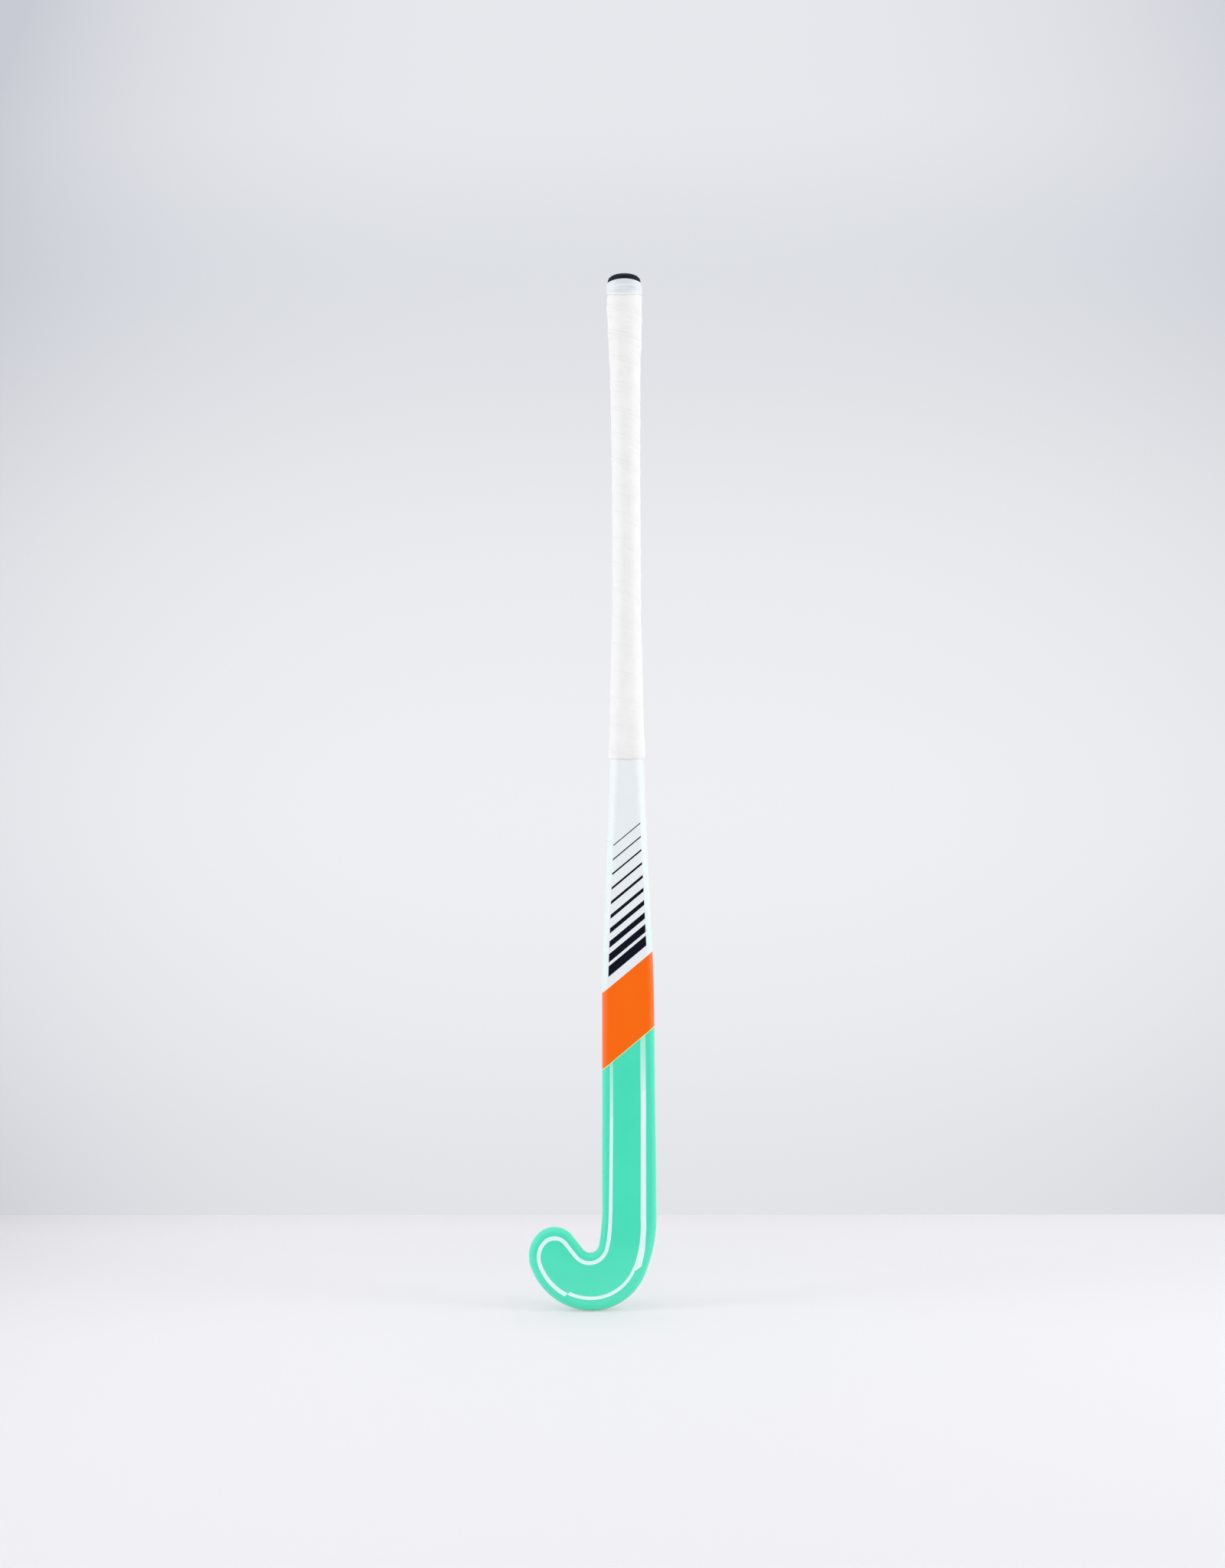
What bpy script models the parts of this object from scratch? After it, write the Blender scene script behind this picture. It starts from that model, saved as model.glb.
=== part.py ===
"""Composite indoor hockey stick, 36.5 in long, standing upright on its heel.

The flat playing face looks along -Y, the toe of the hook points along -X and the rounded
back looks along +Y. Units are metres. The origin is the middle of the bounding box, at the
lowest point of the heel.
"""

import math
from collections import namedtuple

import bmesh
import bpy
from mathutils import Vector, kdtree

MM = 0.001
FIT_GAP = 0.3 * MM

# Lengths up the stick, from the bottom of the heel
HEAD_TOP = 100.0 * MM
BOW_PEAK = 300.0 * MM
SHAFT_TOP = 912.5 * MM
CAP_EDGE = 918.8 * MM
STICK_TOP = 926.6 * MM

# Bow: how far the face line stands behind its chord. The head's flat face leans with it
BOW_DEPTH = 18.0 * MM
BOW_AT_BUTT = 4.0 * MM
FACE_LEAN = 2 * BOW_DEPTH / (HEAD_TOP + BOW_PEAK)

# Walls of the moulding
SHELL_WALL = 2.4 * MM
TUBE_WALL = 1.1 * MM

# Head outline, walked from the heel side of the shaft round to its toe side
HEAD_HALF_WIDTH = 24.4 * MM
HEEL_SIDE_START = 81.8 * MM
HEAD_ARCS = (
    ("heel side", 126.0 * MM, 23.8),
    ("heel", 52.0 * MM, 67.4),
    ("sole", 58.4 * MM, 69.0),
    ("toe underside", 27.4 * MM, 67.5),
    ("toe", 20.8 * MM, 94.1),
)
NECK_LENGTH = 15.2 * MM
CROOK_RADIUS = 8.0 * MM
CROOK_TURN = 132.0
ARC_STEP = 8.5
ARC_STEP_LENGTH = 8.0 * MM

# Bare section up the shaft: height, half width, depth, half width of the flat face,
# half width of the flat on the back, and the rim's depth behind the face, all in mm
Section = namedtuple("Section", "half_width depth face_flat back_flat rim")
SHAFT_SECTIONS = {
    100.0: Section(24.4, 20.5, 17.4, 5.0, 7.0),
    180.0: Section(24.0, 21.0, 17.0, 5.0, 7.2),
    280.0: Section(23.6, 22.0, 16.0, 4.5, 8.0),
    350.0: Section(21.1, 23.0, 13.0, 3.5, 9.2),
    420.0: Section(17.9, 24.0, 8.5, 2.2, 10.8),
    487.0: Section(15.6, 25.0, 4.5, 1.2, 12.2),
    555.0: Section(12.7, 25.6, 1.5, 0.6, 12.8),
    640.0: Section(10.8, 26.0, 0.6, 0.4, 13.0),
    740.0: Section(10.6, 26.0, 0.4, 0.4, 13.0),
    829.0: Section(11.4, 25.6, 0.4, 0.4, 12.8),
    912.5: Section(12.5, 25.2, 0.4, 0.4, 12.6),
}
FACE_STEPS = 4
BACK_STEPS = 7
LOWER_SHAFT_STEP = 30.0 * MM
HANDLE_STEP = 46.0 * MM

# Pieces inside the moulding
HEEL_GUARD_SPAN = ((0, 0.75, 1.0), (1, 0.0, 1.0), (2, 0.0, 0.75))
HEEL_GUARD_REACH = 5.5 * MM
DAMPING_STRIP_THICKNESS = 1.6 * MM
DAMPING_STRIP_BOTTOM = 112.0 * MM
DAMPING_STRIP_TOP = 250.0 * MM
TUBES_CLOSE_UP_OVER = 40.0 * MM
TUBE_TOP = 884.7 * MM
PLUG_LENGTH = 40.0 * MM
PLUG_STOP = 885.0 * MM

# Grip: one long tape wound over a thin cushioned underlay
STEPS_ROUND = 20
TAPE_WIDTH = 29.5 * MM
TAPE_THICKNESS = 0.6 * MM
TAPE_PITCH = 24.5 * MM
TAPE_BOTTOM = 492.3 * MM
TAPE_TOP = 912.2 * MM
TAPE_TURNS = 19
TAPE_LAYER_GAP = 0.5 * MM
TAPE_CLIMB = 6.0 * MM
TAPE_END_WIDTH = 3.0 * MM
TAPE_SEAT = 0.4 * MM
UNDERLAY_BOTTOM = 530.0 * MM
UNDERLAY_TOP = 912.2 * MM
UNDERLAY_THICKNESS = {530.0: 0.4, 560.0: 0.5, 830.0: 0.5, 893.0: 1.4, 912.2: 0.8}
UNDERLAY_RAMP_START = 508.0 * MM
UNDERLAY_RAMP_END = 528.0 * MM
UNDERLAY_RINGS = 17

# Butt end
CAP_OUTSIDE = 2.35 * MM
CAP_TOP_SHARE = 0.36
CAP_DOME_POWER = 2.3
CAP_DOME_RINGS = 5
COLLAR_BOTTOM = 904.4 * MM
COLLAR_THICKNESS = 0.5 * MM

# Print on the moulding: the two slanted colour breaks, as heights on the centre line
BAND_TOP = 301.0 * MM
BAND_BOTTOM = 232.8 * MM
BAND_SLANT = 39.5

MINT = (0.063, 0.72, 0.47)
ORANGE = (1.0, 0.127, 0.0)
PEARL = (0.8, 0.83, 0.85)


def slopes(knots, values):
    """End-to-end tangents of a curve that never swings past its own values."""
    rises = [
        (values[i + 1] - values[i]) / (knots[i + 1] - knots[i])
        for i in range(len(knots) - 1)
    ]
    inner = []
    for before, after in zip(rises, rises[1:]):
        both = before * after
        inner.append(2 * both / (before + after) if both > 0 else 0.0)
    return [0.0] + inner + [rises[-1]]


def follow(table, height):
    """Smooth value at this height, in metres, from a table of heights and values in mm."""
    knots = list(table)
    values = list(table.values())
    place = min(max(height / MM, knots[0]), knots[-1])
    i = max(k for k in range(len(knots) - 1) if knots[k] <= place)
    span = knots[i + 1] - knots[i]
    t = (place - knots[i]) / span
    tangents = slopes(knots, values)
    return MM * (
        (1 + 2 * t) * (1 - t) ** 2 * values[i]
        + t * (1 - t) ** 2 * span * tangents[i]
        + t * t * (3 - 2 * t) * values[i + 1]
        + t * t * (t - 1) * span * tangents[i + 1]
    )


def section(height):
    """The bare moulding's section at this height."""
    columns = zip(*SHAFT_SECTIONS.values())
    heights = SHAFT_SECTIONS.keys()
    return Section(*(follow(dict(zip(heights, column)), height) for column in columns))


def face_line(height):
    """Depth of the face: straight up the head, then one smooth bow to the butt."""
    if height <= HEAD_TOP:
        return FACE_LEAN * height
    if height <= BOW_PEAK:
        above = height - HEAD_TOP
        return FACE_LEAN * (height - above * above / (2 * (BOW_PEAK - HEAD_TOP)))
    share = (height - BOW_PEAK) / (SHAFT_TOP - BOW_PEAK)
    return BOW_AT_BUTT + (BOW_DEPTH - BOW_AT_BUTT) * math.cos(math.pi / 2 * share)


def quarter(flat, reach, rise, stop, steps):
    """Quarter ellipse from the rim towards the middle, as (from the middle, from the rim)."""
    turn = math.acos(min(max((stop - flat) / reach, 0.0), 1.0))
    angles = (turn * i / steps for i in range(steps + 1))
    return [(flat + reach * math.cos(a), rise * math.sin(a)) for a in angles]


def edge(height, inset, stop=0.0):
    """One side of the section, face to rim to back, as (x, depth behind the face)."""
    s = section(height)
    front = quarter(
        s.face_flat, s.half_width - s.face_flat - inset, s.rim - inset, stop, FACE_STEPS
    )
    back = quarter(
        s.back_flat,
        s.half_width - s.back_flat - inset,
        s.depth - s.rim - inset,
        stop,
        BACK_STEPS,
    )
    front_half = [(x, s.rim - y) for x, y in reversed(front)]
    return front_half + [(x, s.rim + y) for x, y in back[1:]]


def around(height, turn, out):
    """Point on the section, out metres outside the bare moulding. Turn 0 is the +X rim."""
    s = section(height)
    quadrant = int(4 * (turn % 1.0))
    share = 4 * (turn % 1.0) - quadrant
    if quadrant % 2:
        share = 1.0 - share
    on_back = quadrant < 2
    flat = s.back_flat if on_back else s.face_flat
    reach = s.half_width - flat + out
    rise = (s.depth - s.rim if on_back else s.rim) + out
    bend = reach / (reach + flat)
    angle = math.pi / 2 * min(share / bend, 1.0)
    x = flat + reach * math.cos(angle)
    if share > bend:
        x = flat * (1.0 - share) / (1.0 - bend)
    y = rise * math.sin(angle)
    return Vector(
        (
            x if quadrant in (0, 3) else -x,
            face_line(height) + s.rim + (y if on_back else -y),
            height,
        )
    )


def ring(height, out, at=None):
    """Closed ring round the stick, offset from the section at height, set at another height."""
    points = [around(height, i / STEPS_ROUND, out) for i in range(STEPS_ROUND)]
    for point in points:
        point.z = height if at is None else at
    return points


def levels(bottom, top):
    """Heights of the sections, closer together where the stick bends most."""
    heights = [bottom]
    while heights[-1] < top:
        step = LOWER_SHAFT_STEP if heights[-1] < BOW_PEAK else HANDLE_STEP
        rest = top - heights[-1]
        heights.append(top if rest < 1.4 * step else heights[-1] + step)
    return heights


Station = namedtuple("Station", "x z inward_x inward_z half_width height")


def head_path():
    """Head outline as pieces: start x, start z, heading, radius, turn to the right."""
    x, z, heading = HEAD_HALF_WIDTH, HEEL_SIDE_START, -math.pi / 2
    pieces = []

    def bend(radius, turn):
        nonlocal x, z, heading
        pieces.append((x, z, heading, radius, turn))
        side = math.copysign(radius, turn)
        x += side * (math.sin(heading) - math.sin(heading - turn))
        z += side * (math.cos(heading - turn) - math.cos(heading))
        heading -= turn

    for _, radius, turn in HEAD_ARCS:
        bend(radius, math.radians(turn))
    x += NECK_LENGTH * math.cos(heading)
    z += NECK_LENGTH * math.sin(heading)
    bend(CROOK_RADIUS, -math.radians(CROOK_TURN))
    root_radius = (-HEAD_HALF_WIDTH - x) / (1 - math.sin(heading))
    bend(root_radius, (heading - math.pi / 2) % (2 * math.pi) - 2 * math.pi)
    return pieces


def on_bend(piece, share):
    """Station part of the way along one bend of the head outline."""
    x, z, heading, radius, turn = piece
    now = heading - share * turn
    side = math.copysign(radius, turn)
    return Station(
        x + side * (math.sin(heading) - math.sin(now)),
        z + side * (math.cos(now) - math.cos(heading)),
        math.sin(now),
        -math.cos(now),
        HEAD_HALF_WIDTH,
        HEAD_TOP,
    )


def step_along(piece, start=0.0, end=1.0):
    """Even stations over a share of one bend."""
    turn = abs(piece[4]) * (end - start)
    length = piece[3] * turn
    count = math.ceil(max(math.degrees(turn) / ARC_STEP, length / ARC_STEP_LENGTH))
    return [on_bend(piece, start + (end - start) * i / count) for i in range(count + 1)]


def join(stations, more):
    """Adds stations to a run of them, once each where they meet."""
    met = stations and math.dist(stations[-1][:2], more[0][:2]) < 0.1 * MM
    return stations + (more[1:] if met else more)


def head_stations():
    """Stations round the head, from the heel side of the shaft to its toe side."""
    stations = []
    for piece in head_path():
        stations = join(stations, step_along(piece))
    return stations


def shaft_station(height, side):
    """Station on the heel side (side 1) or the toe side (side -1) of the shaft."""
    half_width = section(height).half_width
    return Station(side * half_width, height, -side, 0.0, half_width, height)


def column(station, inset, stop=0.0):
    """The section's edge stood up at one station of the outline."""
    points = []
    for x, depth in edge(station.height, inset, stop):
        inward = station.half_width - x
        z = station.z + inward * station.inward_z
        x = station.x + inward * station.inward_x
        points.append(Vector((x, face_line(z) + depth, z)))
    return points


def add_strip(bm, first, second, closed=False):
    """Quads between two rows of vertices of equal length."""
    count = len(first)
    for i in range(count if closed else count - 1):
        j = (i + 1) % count
        bm.faces.new((first[i], first[j], second[j], second[i]))


def add_stick_skin(bm, inset, top):
    """Surface of the whole stick at this inset, open at the top. Returns its top ring."""
    heights = levels(HEAD_TOP, top)
    heel_side = [column(shaft_station(h, 1), inset) for h in heights]
    toe_side = [column(shaft_station(h, -1), inset) for h in heights]
    head = [column(station, inset) for station in head_stations()]
    columns = heel_side[::-1] + head + toe_side
    rows = [[bm.verts.new(point) for point in points] for points in columns]
    for first, second in zip(rows, rows[1:]):
        add_strip(bm, first, second)
    rise = len(heights)
    for i in range(rise - 1):
        for end in (0, -1):
            ladder = (rows[i], rows[i + 1], rows[-2 - i], rows[-1 - i])
            bm.faces.new([row[end] for row in ladder])
    for end in (0, -1):
        bm.faces.new([row[end] for row in rows[rise - 1 : len(rows) - rise + 1]])
    return rows[0] + rows[-1][::-1]


def add_loft(bm, rings, caps=True):
    """Skin through closed rings of points. Returns the first and the last ring's vertices."""
    rows = [[bm.verts.new(point) for point in points] for points in rings]
    for first, second in zip(rows, rows[1:]):
        add_strip(bm, first, second, closed=True)
    if caps:
        bm.faces.new(rows[0])
        bm.faces.new(rows[-1])
    return rows[0], rows[-1]


def make_object(name, bm, material, collection):
    """Object with outward faces, smooth but for its real edges."""
    bmesh.ops.recalc_face_normals(bm, faces=bm.faces)
    mesh = bpy.data.meshes.new(name)
    bm.to_mesh(mesh)
    bm.free()
    mesh.shade_smooth()
    mesh.set_sharp_from_angle(angle=math.radians(40))
    obj = bpy.data.objects.new(name, mesh)
    if material:
        mesh.materials.append(material)
    collection.objects.link(obj)
    return obj


def make_loft(name, rings, material, collection):
    """Solid through closed rings of points."""
    bm = bmesh.new()
    add_loft(bm, rings)
    return make_object(name, bm, material, collection)


def make_sleeve(name, outer, inner, material, collection):
    """Open-ended tube between two lofts that end at the same heights."""
    bm = bmesh.new()
    ends = add_loft(bm, outer, caps=False)
    bore_ends = add_loft(bm, inner, caps=False)
    for outside, inside in zip(ends, bore_ends):
        add_strip(bm, outside, inside, closed=True)
    return make_object(name, bm, material, collection)


def plain_material(name, colour, roughness, alpha=1.0):
    """Principled material of one colour."""
    material = bpy.data.materials.new(name)
    material.use_nodes = True
    shader = material.node_tree.nodes["Principled BSDF"]
    shader.inputs["Base Color"].default_value = (*colour, 1.0)
    shader.inputs["Roughness"].default_value = roughness
    shader.inputs["Metallic"].default_value = 0.0
    shader.inputs["Alpha"].default_value = alpha
    return material


def printed_material():
    """Lacquered print: pearl shaft, orange band and mint head, parted on a slant."""
    material = plain_material("printed_lacquer", PEARL, 0.2)
    nodes = material.node_tree.nodes
    links = material.node_tree.links
    place = nodes.new("ShaderNodeTexCoord")
    parts = nodes.new("ShaderNodeSeparateXYZ")
    slant = nodes.new("ShaderNodeMath")
    slant.operation = "MULTIPLY"
    slant.inputs[1].default_value = -math.tan(math.radians(BAND_SLANT))
    height = nodes.new("ShaderNodeMath")
    height.operation = "ADD"
    bands = nodes.new("ShaderNodeValToRGB")
    bands.color_ramp.interpolation = "CONSTANT"
    first, second = bands.color_ramp.elements
    first.color = (*MINT, 1.0)
    second.position = BAND_BOTTOM
    second.color = (*ORANGE, 1.0)
    third = bands.color_ramp.elements.new(BAND_TOP)
    third.color = (*PEARL, 1.0)
    links.new(place.outputs["Object"], parts.inputs[0])
    links.new(parts.outputs["X"], slant.inputs[0])
    links.new(slant.outputs[0], height.inputs[0])
    links.new(parts.outputs["Z"], height.inputs[1])
    links.new(height.outputs[0], bands.inputs[0])
    shader = nodes["Principled BSDF"]
    links.new(bands.outputs["Color"], shader.inputs["Base Color"])
    shader.inputs["Coat Weight"].default_value = 1.0
    return material


def outer_laminate(collection):
    """Hollow outer moulding from the toe to the butt, open at the butt."""
    bm = bmesh.new()
    outside = add_stick_skin(bm, 0.0, SHAFT_TOP)
    inside = add_stick_skin(bm, SHELL_WALL, SHAFT_TOP)
    add_strip(bm, outside, inside, closed=True)
    return make_object("outer_laminate", bm, printed_material(), collection)


def guard_rings(inset, reach, trim):
    """Sections of the strip along the heel and sole, shortened by trim at both ends."""
    pieces = head_path()
    stations = []
    for index, start, end in HEEL_GUARD_SPAN:
        piece = pieces[index]
        cut = trim / abs(piece[3] * piece[4])
        first = start + cut if index == HEEL_GUARD_SPAN[0][0] else start
        last = end - cut if index == HEEL_GUARD_SPAN[-1][0] else end
        stations = join(stations, step_along(piece, first, last))
    stop = HEAD_HALF_WIDTH - reach
    return [column(station, inset, stop) for station in stations]


def head_core(collection, cutters):
    """Solid foam core of the hook, recessed along the heel for the guard."""
    inset = SHELL_WALL + FIT_GAP
    stations = [shaft_station(HEAD_TOP, 1), *head_stations(), shaft_station(HEAD_TOP, -1)]
    bm = bmesh.new()
    rows = [[bm.verts.new(p) for p in column(s, inset)] for s in stations]
    for first, second in zip(rows, rows[1:]):
        add_strip(bm, first, second)
    for end in (0, -1):
        bm.faces.new([row[end] for row in rows])
    bm.faces.new(rows[0] + rows[-1][::-1])
    foam = plain_material("core_foam", (0.62, 0.47, 0.25), 0.8)
    core = make_object("head_core", bm, foam, collection)
    rings = guard_rings(SHELL_WALL - FIT_GAP, HEEL_GUARD_REACH + FIT_GAP, 0.0)
    recess = make_loft("heel_guard_recess", rings, None, cutters)
    cut = core.modifiers.new("heel guard recess", "BOOLEAN")
    cut.operation = "DIFFERENCE"
    cut.solver = "EXACT"
    cut.object = recess
    return core


def heel_guard(collection):
    """Tough strip let into the core behind the heel and sole."""
    rings = guard_rings(SHELL_WALL + FIT_GAP, HEEL_GUARD_REACH, FIT_GAP)
    fibre = plain_material("guard_fibre", (0.45, 0.34, 0.06), 0.6)
    return make_loft("heel_guard", rings, fibre, collection)


def web(height):
    """How far each inner tube's flat side stands from the middle of the stick."""
    together = FIT_GAP / 2
    apart = DAMPING_STRIP_THICKNESS / 2 + FIT_GAP
    share = (height - DAMPING_STRIP_TOP) / TUBES_CLOSE_UP_OVER
    share = min(max(share, 0.0), 1.0)
    return apart + (together - apart) * share * share * (3 - 2 * share)


def half_ring(height, inset, flat_side, side):
    """D-shaped ring of one inner tube: the section's edge, closed by a flat side."""
    s = section(height)
    points = edge(height, inset, flat_side + 0.5 * MM)
    corners = []
    for flat, rise, sign in (
        (s.back_flat, s.depth - s.rim - inset, 1),
        (s.face_flat, s.rim - inset, -1),
    ):
        reach = s.half_width - flat - inset
        lean = min(max((flat_side - flat) / reach, 0.0), 1.0)
        corners.append((flat_side, s.rim + sign * rise * math.sqrt(1 - lean * lean)))
    face = face_line(height)
    return [Vector((side * x, face + depth, height)) for x, depth in points + corners]


def inner_tube(name, side, collection):
    """One of the two tubes whose flat sides meet as a rib down the middle of the shaft."""
    heights = levels(HEAD_TOP + FIT_GAP, TUBE_TOP)
    inset = SHELL_WALL + FIT_GAP
    outer = [half_ring(h, inset, web(h), side) for h in heights]
    inner = [
        half_ring(h, inset + TUBE_WALL, web(h) + TUBE_WALL, side) for h in heights
    ]
    carbon = plain_material(name + "_laminate", (0.03, 0.03, 0.035), 0.45)
    return make_sleeve(name, outer, inner, carbon, collection)


def foam_plug(name, side, collection):
    """Foam stopper in the top of one inner tube."""
    inset = SHELL_WALL + FIT_GAP + TUBE_WALL + FIT_GAP
    heights = [TUBE_TOP - PLUG_LENGTH, TUBE_TOP - PLUG_LENGTH / 2, TUBE_TOP]
    rings = [half_ring(h, inset, web(h) + TUBE_WALL + FIT_GAP, side) for h in heights]
    foam = plain_material(name + "_foam", (0.85, 0.82, 0.7), 0.9)
    return make_loft(name, rings, foam, collection)


def damping_strip(collection):
    """Soft strip between the two inner tubes, above the head."""
    half = DAMPING_STRIP_THICKNESS / 2
    clear = SHELL_WALL + 2 * FIT_GAP
    rings = []
    for height in levels(DAMPING_STRIP_BOTTOM, DAMPING_STRIP_TOP):
        front = face_line(height) + clear
        back = face_line(height) + section(height).depth - clear
        corners = ((half, front), (half, back), (-half, back), (-half, front))
        rings.append([Vector((x, y, height)) for x, y in corners])
    elastomer = plain_material("damping_elastomer", (0.05, 0.22, 0.2), 0.7)
    return make_loft("damping_strip", rings, elastomer, collection)


def underlay_outside(height):
    """How far the underlay's outer surface stands outside the bare moulding."""
    return FIT_GAP + follow(UNDERLAY_THICKNESS, height)


def grip_underlay(collection):
    """Thin cushioned sleeve that also builds up the flare at the butt."""
    step = (UNDERLAY_TOP - UNDERLAY_BOTTOM) / (UNDERLAY_RINGS - 1)
    heights = [UNDERLAY_BOTTOM + step * i for i in range(UNDERLAY_RINGS)]
    outer = [ring(h, underlay_outside(h)) for h in heights]
    inner = [ring(h, FIT_GAP) for h in heights]
    cushion = plain_material("cushion_foam", (0.2, 0.2, 0.21), 0.95)
    return make_sleeve("grip_underlay", outer, inner, cushion, collection)


def tape_seat(height):
    """Surface that the tape lies on: the bare moulding, then the underlay."""
    share = (height - UNDERLAY_RAMP_START) / (UNDERLAY_RAMP_END - UNDERLAY_RAMP_START)
    share = min(max(share, 0.0), 1.0)
    return TAPE_SEAT + share * (underlay_outside(height) + FIT_GAP - TAPE_SEAT)


def tape_edges(turn):
    """Lower and upper edge of the tape, which is cut level at both ends of the grip."""
    lower = TAPE_BOTTOM - TAPE_WIDTH + TAPE_PITCH * (TAPE_TURNS - turn)
    return max(lower, TAPE_BOTTOM), min(lower + TAPE_WIDTH, TAPE_TOP)


def tape_start():
    """Turn at which the tape's cut start has its least width."""
    lower = TAPE_TOP - TAPE_END_WIDTH
    turn = TAPE_TURNS - (lower - TAPE_BOTTOM + TAPE_WIDTH) / TAPE_PITCH
    return math.ceil(turn * STEPS_ROUND) / STEPS_ROUND


def tape_section(turn):
    """Closed section of the tape: each turn climbs over the lower edge of the one above."""
    lower, upper = tape_edges(turn)
    step = 1 / STEPS_ROUND
    climbs = turn - 1 >= tape_start() - 1.5 * step
    heights = [lower + (upper - lower) * i / 3 for i in range(4)]
    over = upper
    if climbs:
        over = tape_edges(turn - 1)[0] - 0.5 * MM
        second = max(over, lower + 1.0 * MM)
        heights[1:3] = [max(over - TAPE_CLIMB, lower + 0.5 * MM), second]

    def lift(height):
        if not climbs:
            return 0.0
        share = (height - over + TAPE_CLIMB) / TAPE_CLIMB
        return min(max(share, 0.0), 1.0) * (TAPE_THICKNESS + TAPE_LAYER_GAP)

    inner = [around(h, turn, tape_seat(h) + lift(h)) for h in heights]
    outer = [around(h, turn, tape_seat(h) + lift(h) + TAPE_THICKNESS) for h in heights]
    return inner + outer[::-1]


def least_self_gap(rings):
    """Least distance between points on neighbouring turns of the tape."""
    points = []
    for index, points_round in enumerate(rings):
        for a, b in zip(points_round, points_round[1:] + points_round[:1]):
            pieces = max(1, round((b - a).length / (0.3 * MM)))
            points += [(a.lerp(b, i / pieces), index) for i in range(pieces)]
    tree = kdtree.KDTree(len(points))
    for i, (point, _) in enumerate(points):
        tree.insert(point, i)
    tree.balance()
    least = 2 * MM
    for point, index in points:
        for _, other, distance in tree.find_range(point, 1.2 * MM):
            if abs(points[other][1] - index) > STEPS_ROUND / 2:
                least = min(least, distance)
    return least


def grip_tape(collection):
    """One unbroken tape, wound from the butt down with its lower edges tucked under."""
    first = round(tape_start() * STEPS_ROUND)
    last = math.floor((TAPE_TURNS - TAPE_END_WIDTH / TAPE_PITCH) * STEPS_ROUND)
    rings = [tape_section(i / STEPS_ROUND) for i in range(first, last + 1)]
    print(f"grip_tape: {(last - first) / STEPS_ROUND:.2f} turns")
    print(f"grip_tape: least gap to itself {least_self_gap(rings) / MM:.2f} mm")
    chamois = plain_material("chamois_tape", (0.86, 0.87, 0.87), 0.85)
    return make_loft("grip_tape", rings, chamois, collection)


def butt_cap(collection):
    """Rubber cap: a stem down the bore, a shoulder over the rim and a low dome."""
    stem = -(SHELL_WALL + FIT_GAP)
    seat = SHAFT_TOP + FIT_GAP
    rings = [
        ring(PLUG_STOP, stem),
        ring((PLUG_STOP + SHAFT_TOP) / 2, stem),
        ring(SHAFT_TOP, stem, seat),
        ring(SHAFT_TOP, CAP_OUTSIDE, seat),
        ring(SHAFT_TOP, CAP_OUTSIDE, CAP_EDGE),
    ]
    reach = section(SHAFT_TOP).half_width + CAP_OUTSIDE
    for i in range(1, CAP_DOME_RINGS + 1):
        share = 1 - (1 - CAP_TOP_SHARE) * (i / CAP_DOME_RINGS) ** 1.4
        rise = (1 - share**CAP_DOME_POWER) ** (1 / CAP_DOME_POWER)
        top = (1 - CAP_TOP_SHARE**CAP_DOME_POWER) ** (1 / CAP_DOME_POWER)
        height = CAP_EDGE + (STICK_TOP - CAP_EDGE) * rise / top
        rings.append(ring(SHAFT_TOP, CAP_OUTSIDE - reach * (1 - share), height))
    rubber = plain_material("black_rubber", (0.012, 0.014, 0.022), 0.45)
    return make_loft("butt_cap", rings, rubber, collection)


def grip_collar(collection):
    """Thin clear band that binds the top of the tape and the side of the cap."""
    tape_outside = 2 * TAPE_THICKNESS + TAPE_LAYER_GAP + FIT_GAP
    stations = (
        (COLLAR_BOTTOM, tape_seat(COLLAR_BOTTOM) + tape_outside),
        (908.0 * MM, tape_seat(908.0 * MM) + tape_outside),
        (SHAFT_TOP + 0.1 * MM, tape_seat(SHAFT_TOP) + tape_outside),
        (SHAFT_TOP + 3.2 * MM, CAP_OUTSIDE + 1.6 * FIT_GAP),
        (CAP_EDGE, CAP_OUTSIDE + FIT_GAP),
    )
    inner = [ring(min(z, SHAFT_TOP), out, z) for z, out in stations]
    outer = [ring(min(z, SHAFT_TOP), out + COLLAR_THICKNESS, z) for z, out in stations]
    film = plain_material("clear_film", (0.72, 0.79, 0.83), 0.3, alpha=0.92)
    return make_sleeve("grip_collar", outer, inner, film, collection)


def place_on_origin(parts):
    """Hangs every part on one empty, so that the heel's bottom middle is the origin."""
    corners = [vertex.co for part in parts for vertex in part.data.vertices]
    low, high = (
        [pick(corner[axis] for corner in corners) for axis in range(3)]
        for pick in (min, max)
    )
    frame = bpy.data.objects.new("stick_frame", None)
    frame.location = (-(low[0] + high[0]) / 2, -(low[1] + high[1]) / 2, -low[2])
    bpy.context.scene.collection.objects.link(frame)
    for part in parts:
        part.parent = frame
    return frame


def main():
    for obj in list(bpy.data.objects):
        bpy.data.objects.remove(obj, do_unlink=True)
    stick = bpy.data.collections.new("indoor_hockey_stick")
    cutters = bpy.data.collections.new("cutters")
    for collection in (stick, cutters):
        bpy.context.scene.collection.children.link(collection)
    parts = [
        outer_laminate(stick),
        head_core(stick, cutters),
        heel_guard(stick),
        damping_strip(stick),
        inner_tube("toe_side_tube", -1, stick),
        inner_tube("heel_side_tube", 1, stick),
        foam_plug("toe_side_plug", -1, stick),
        foam_plug("heel_side_plug", 1, stick),
        grip_underlay(stick),
        grip_tape(stick),
        butt_cap(stick),
        grip_collar(stick),
    ]
    frame = place_on_origin(parts)
    for cutter in cutters.objects:
        cutter.hide_render = True
        cutter.display_type = "WIRE"
        cutter.parent = frame


main()
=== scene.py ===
"""Looks of the indoor hockey stick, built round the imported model's own frame."""

import math
from collections import namedtuple
from functools import lru_cache

import bmesh
import bpy
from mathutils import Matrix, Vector, noise


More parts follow.
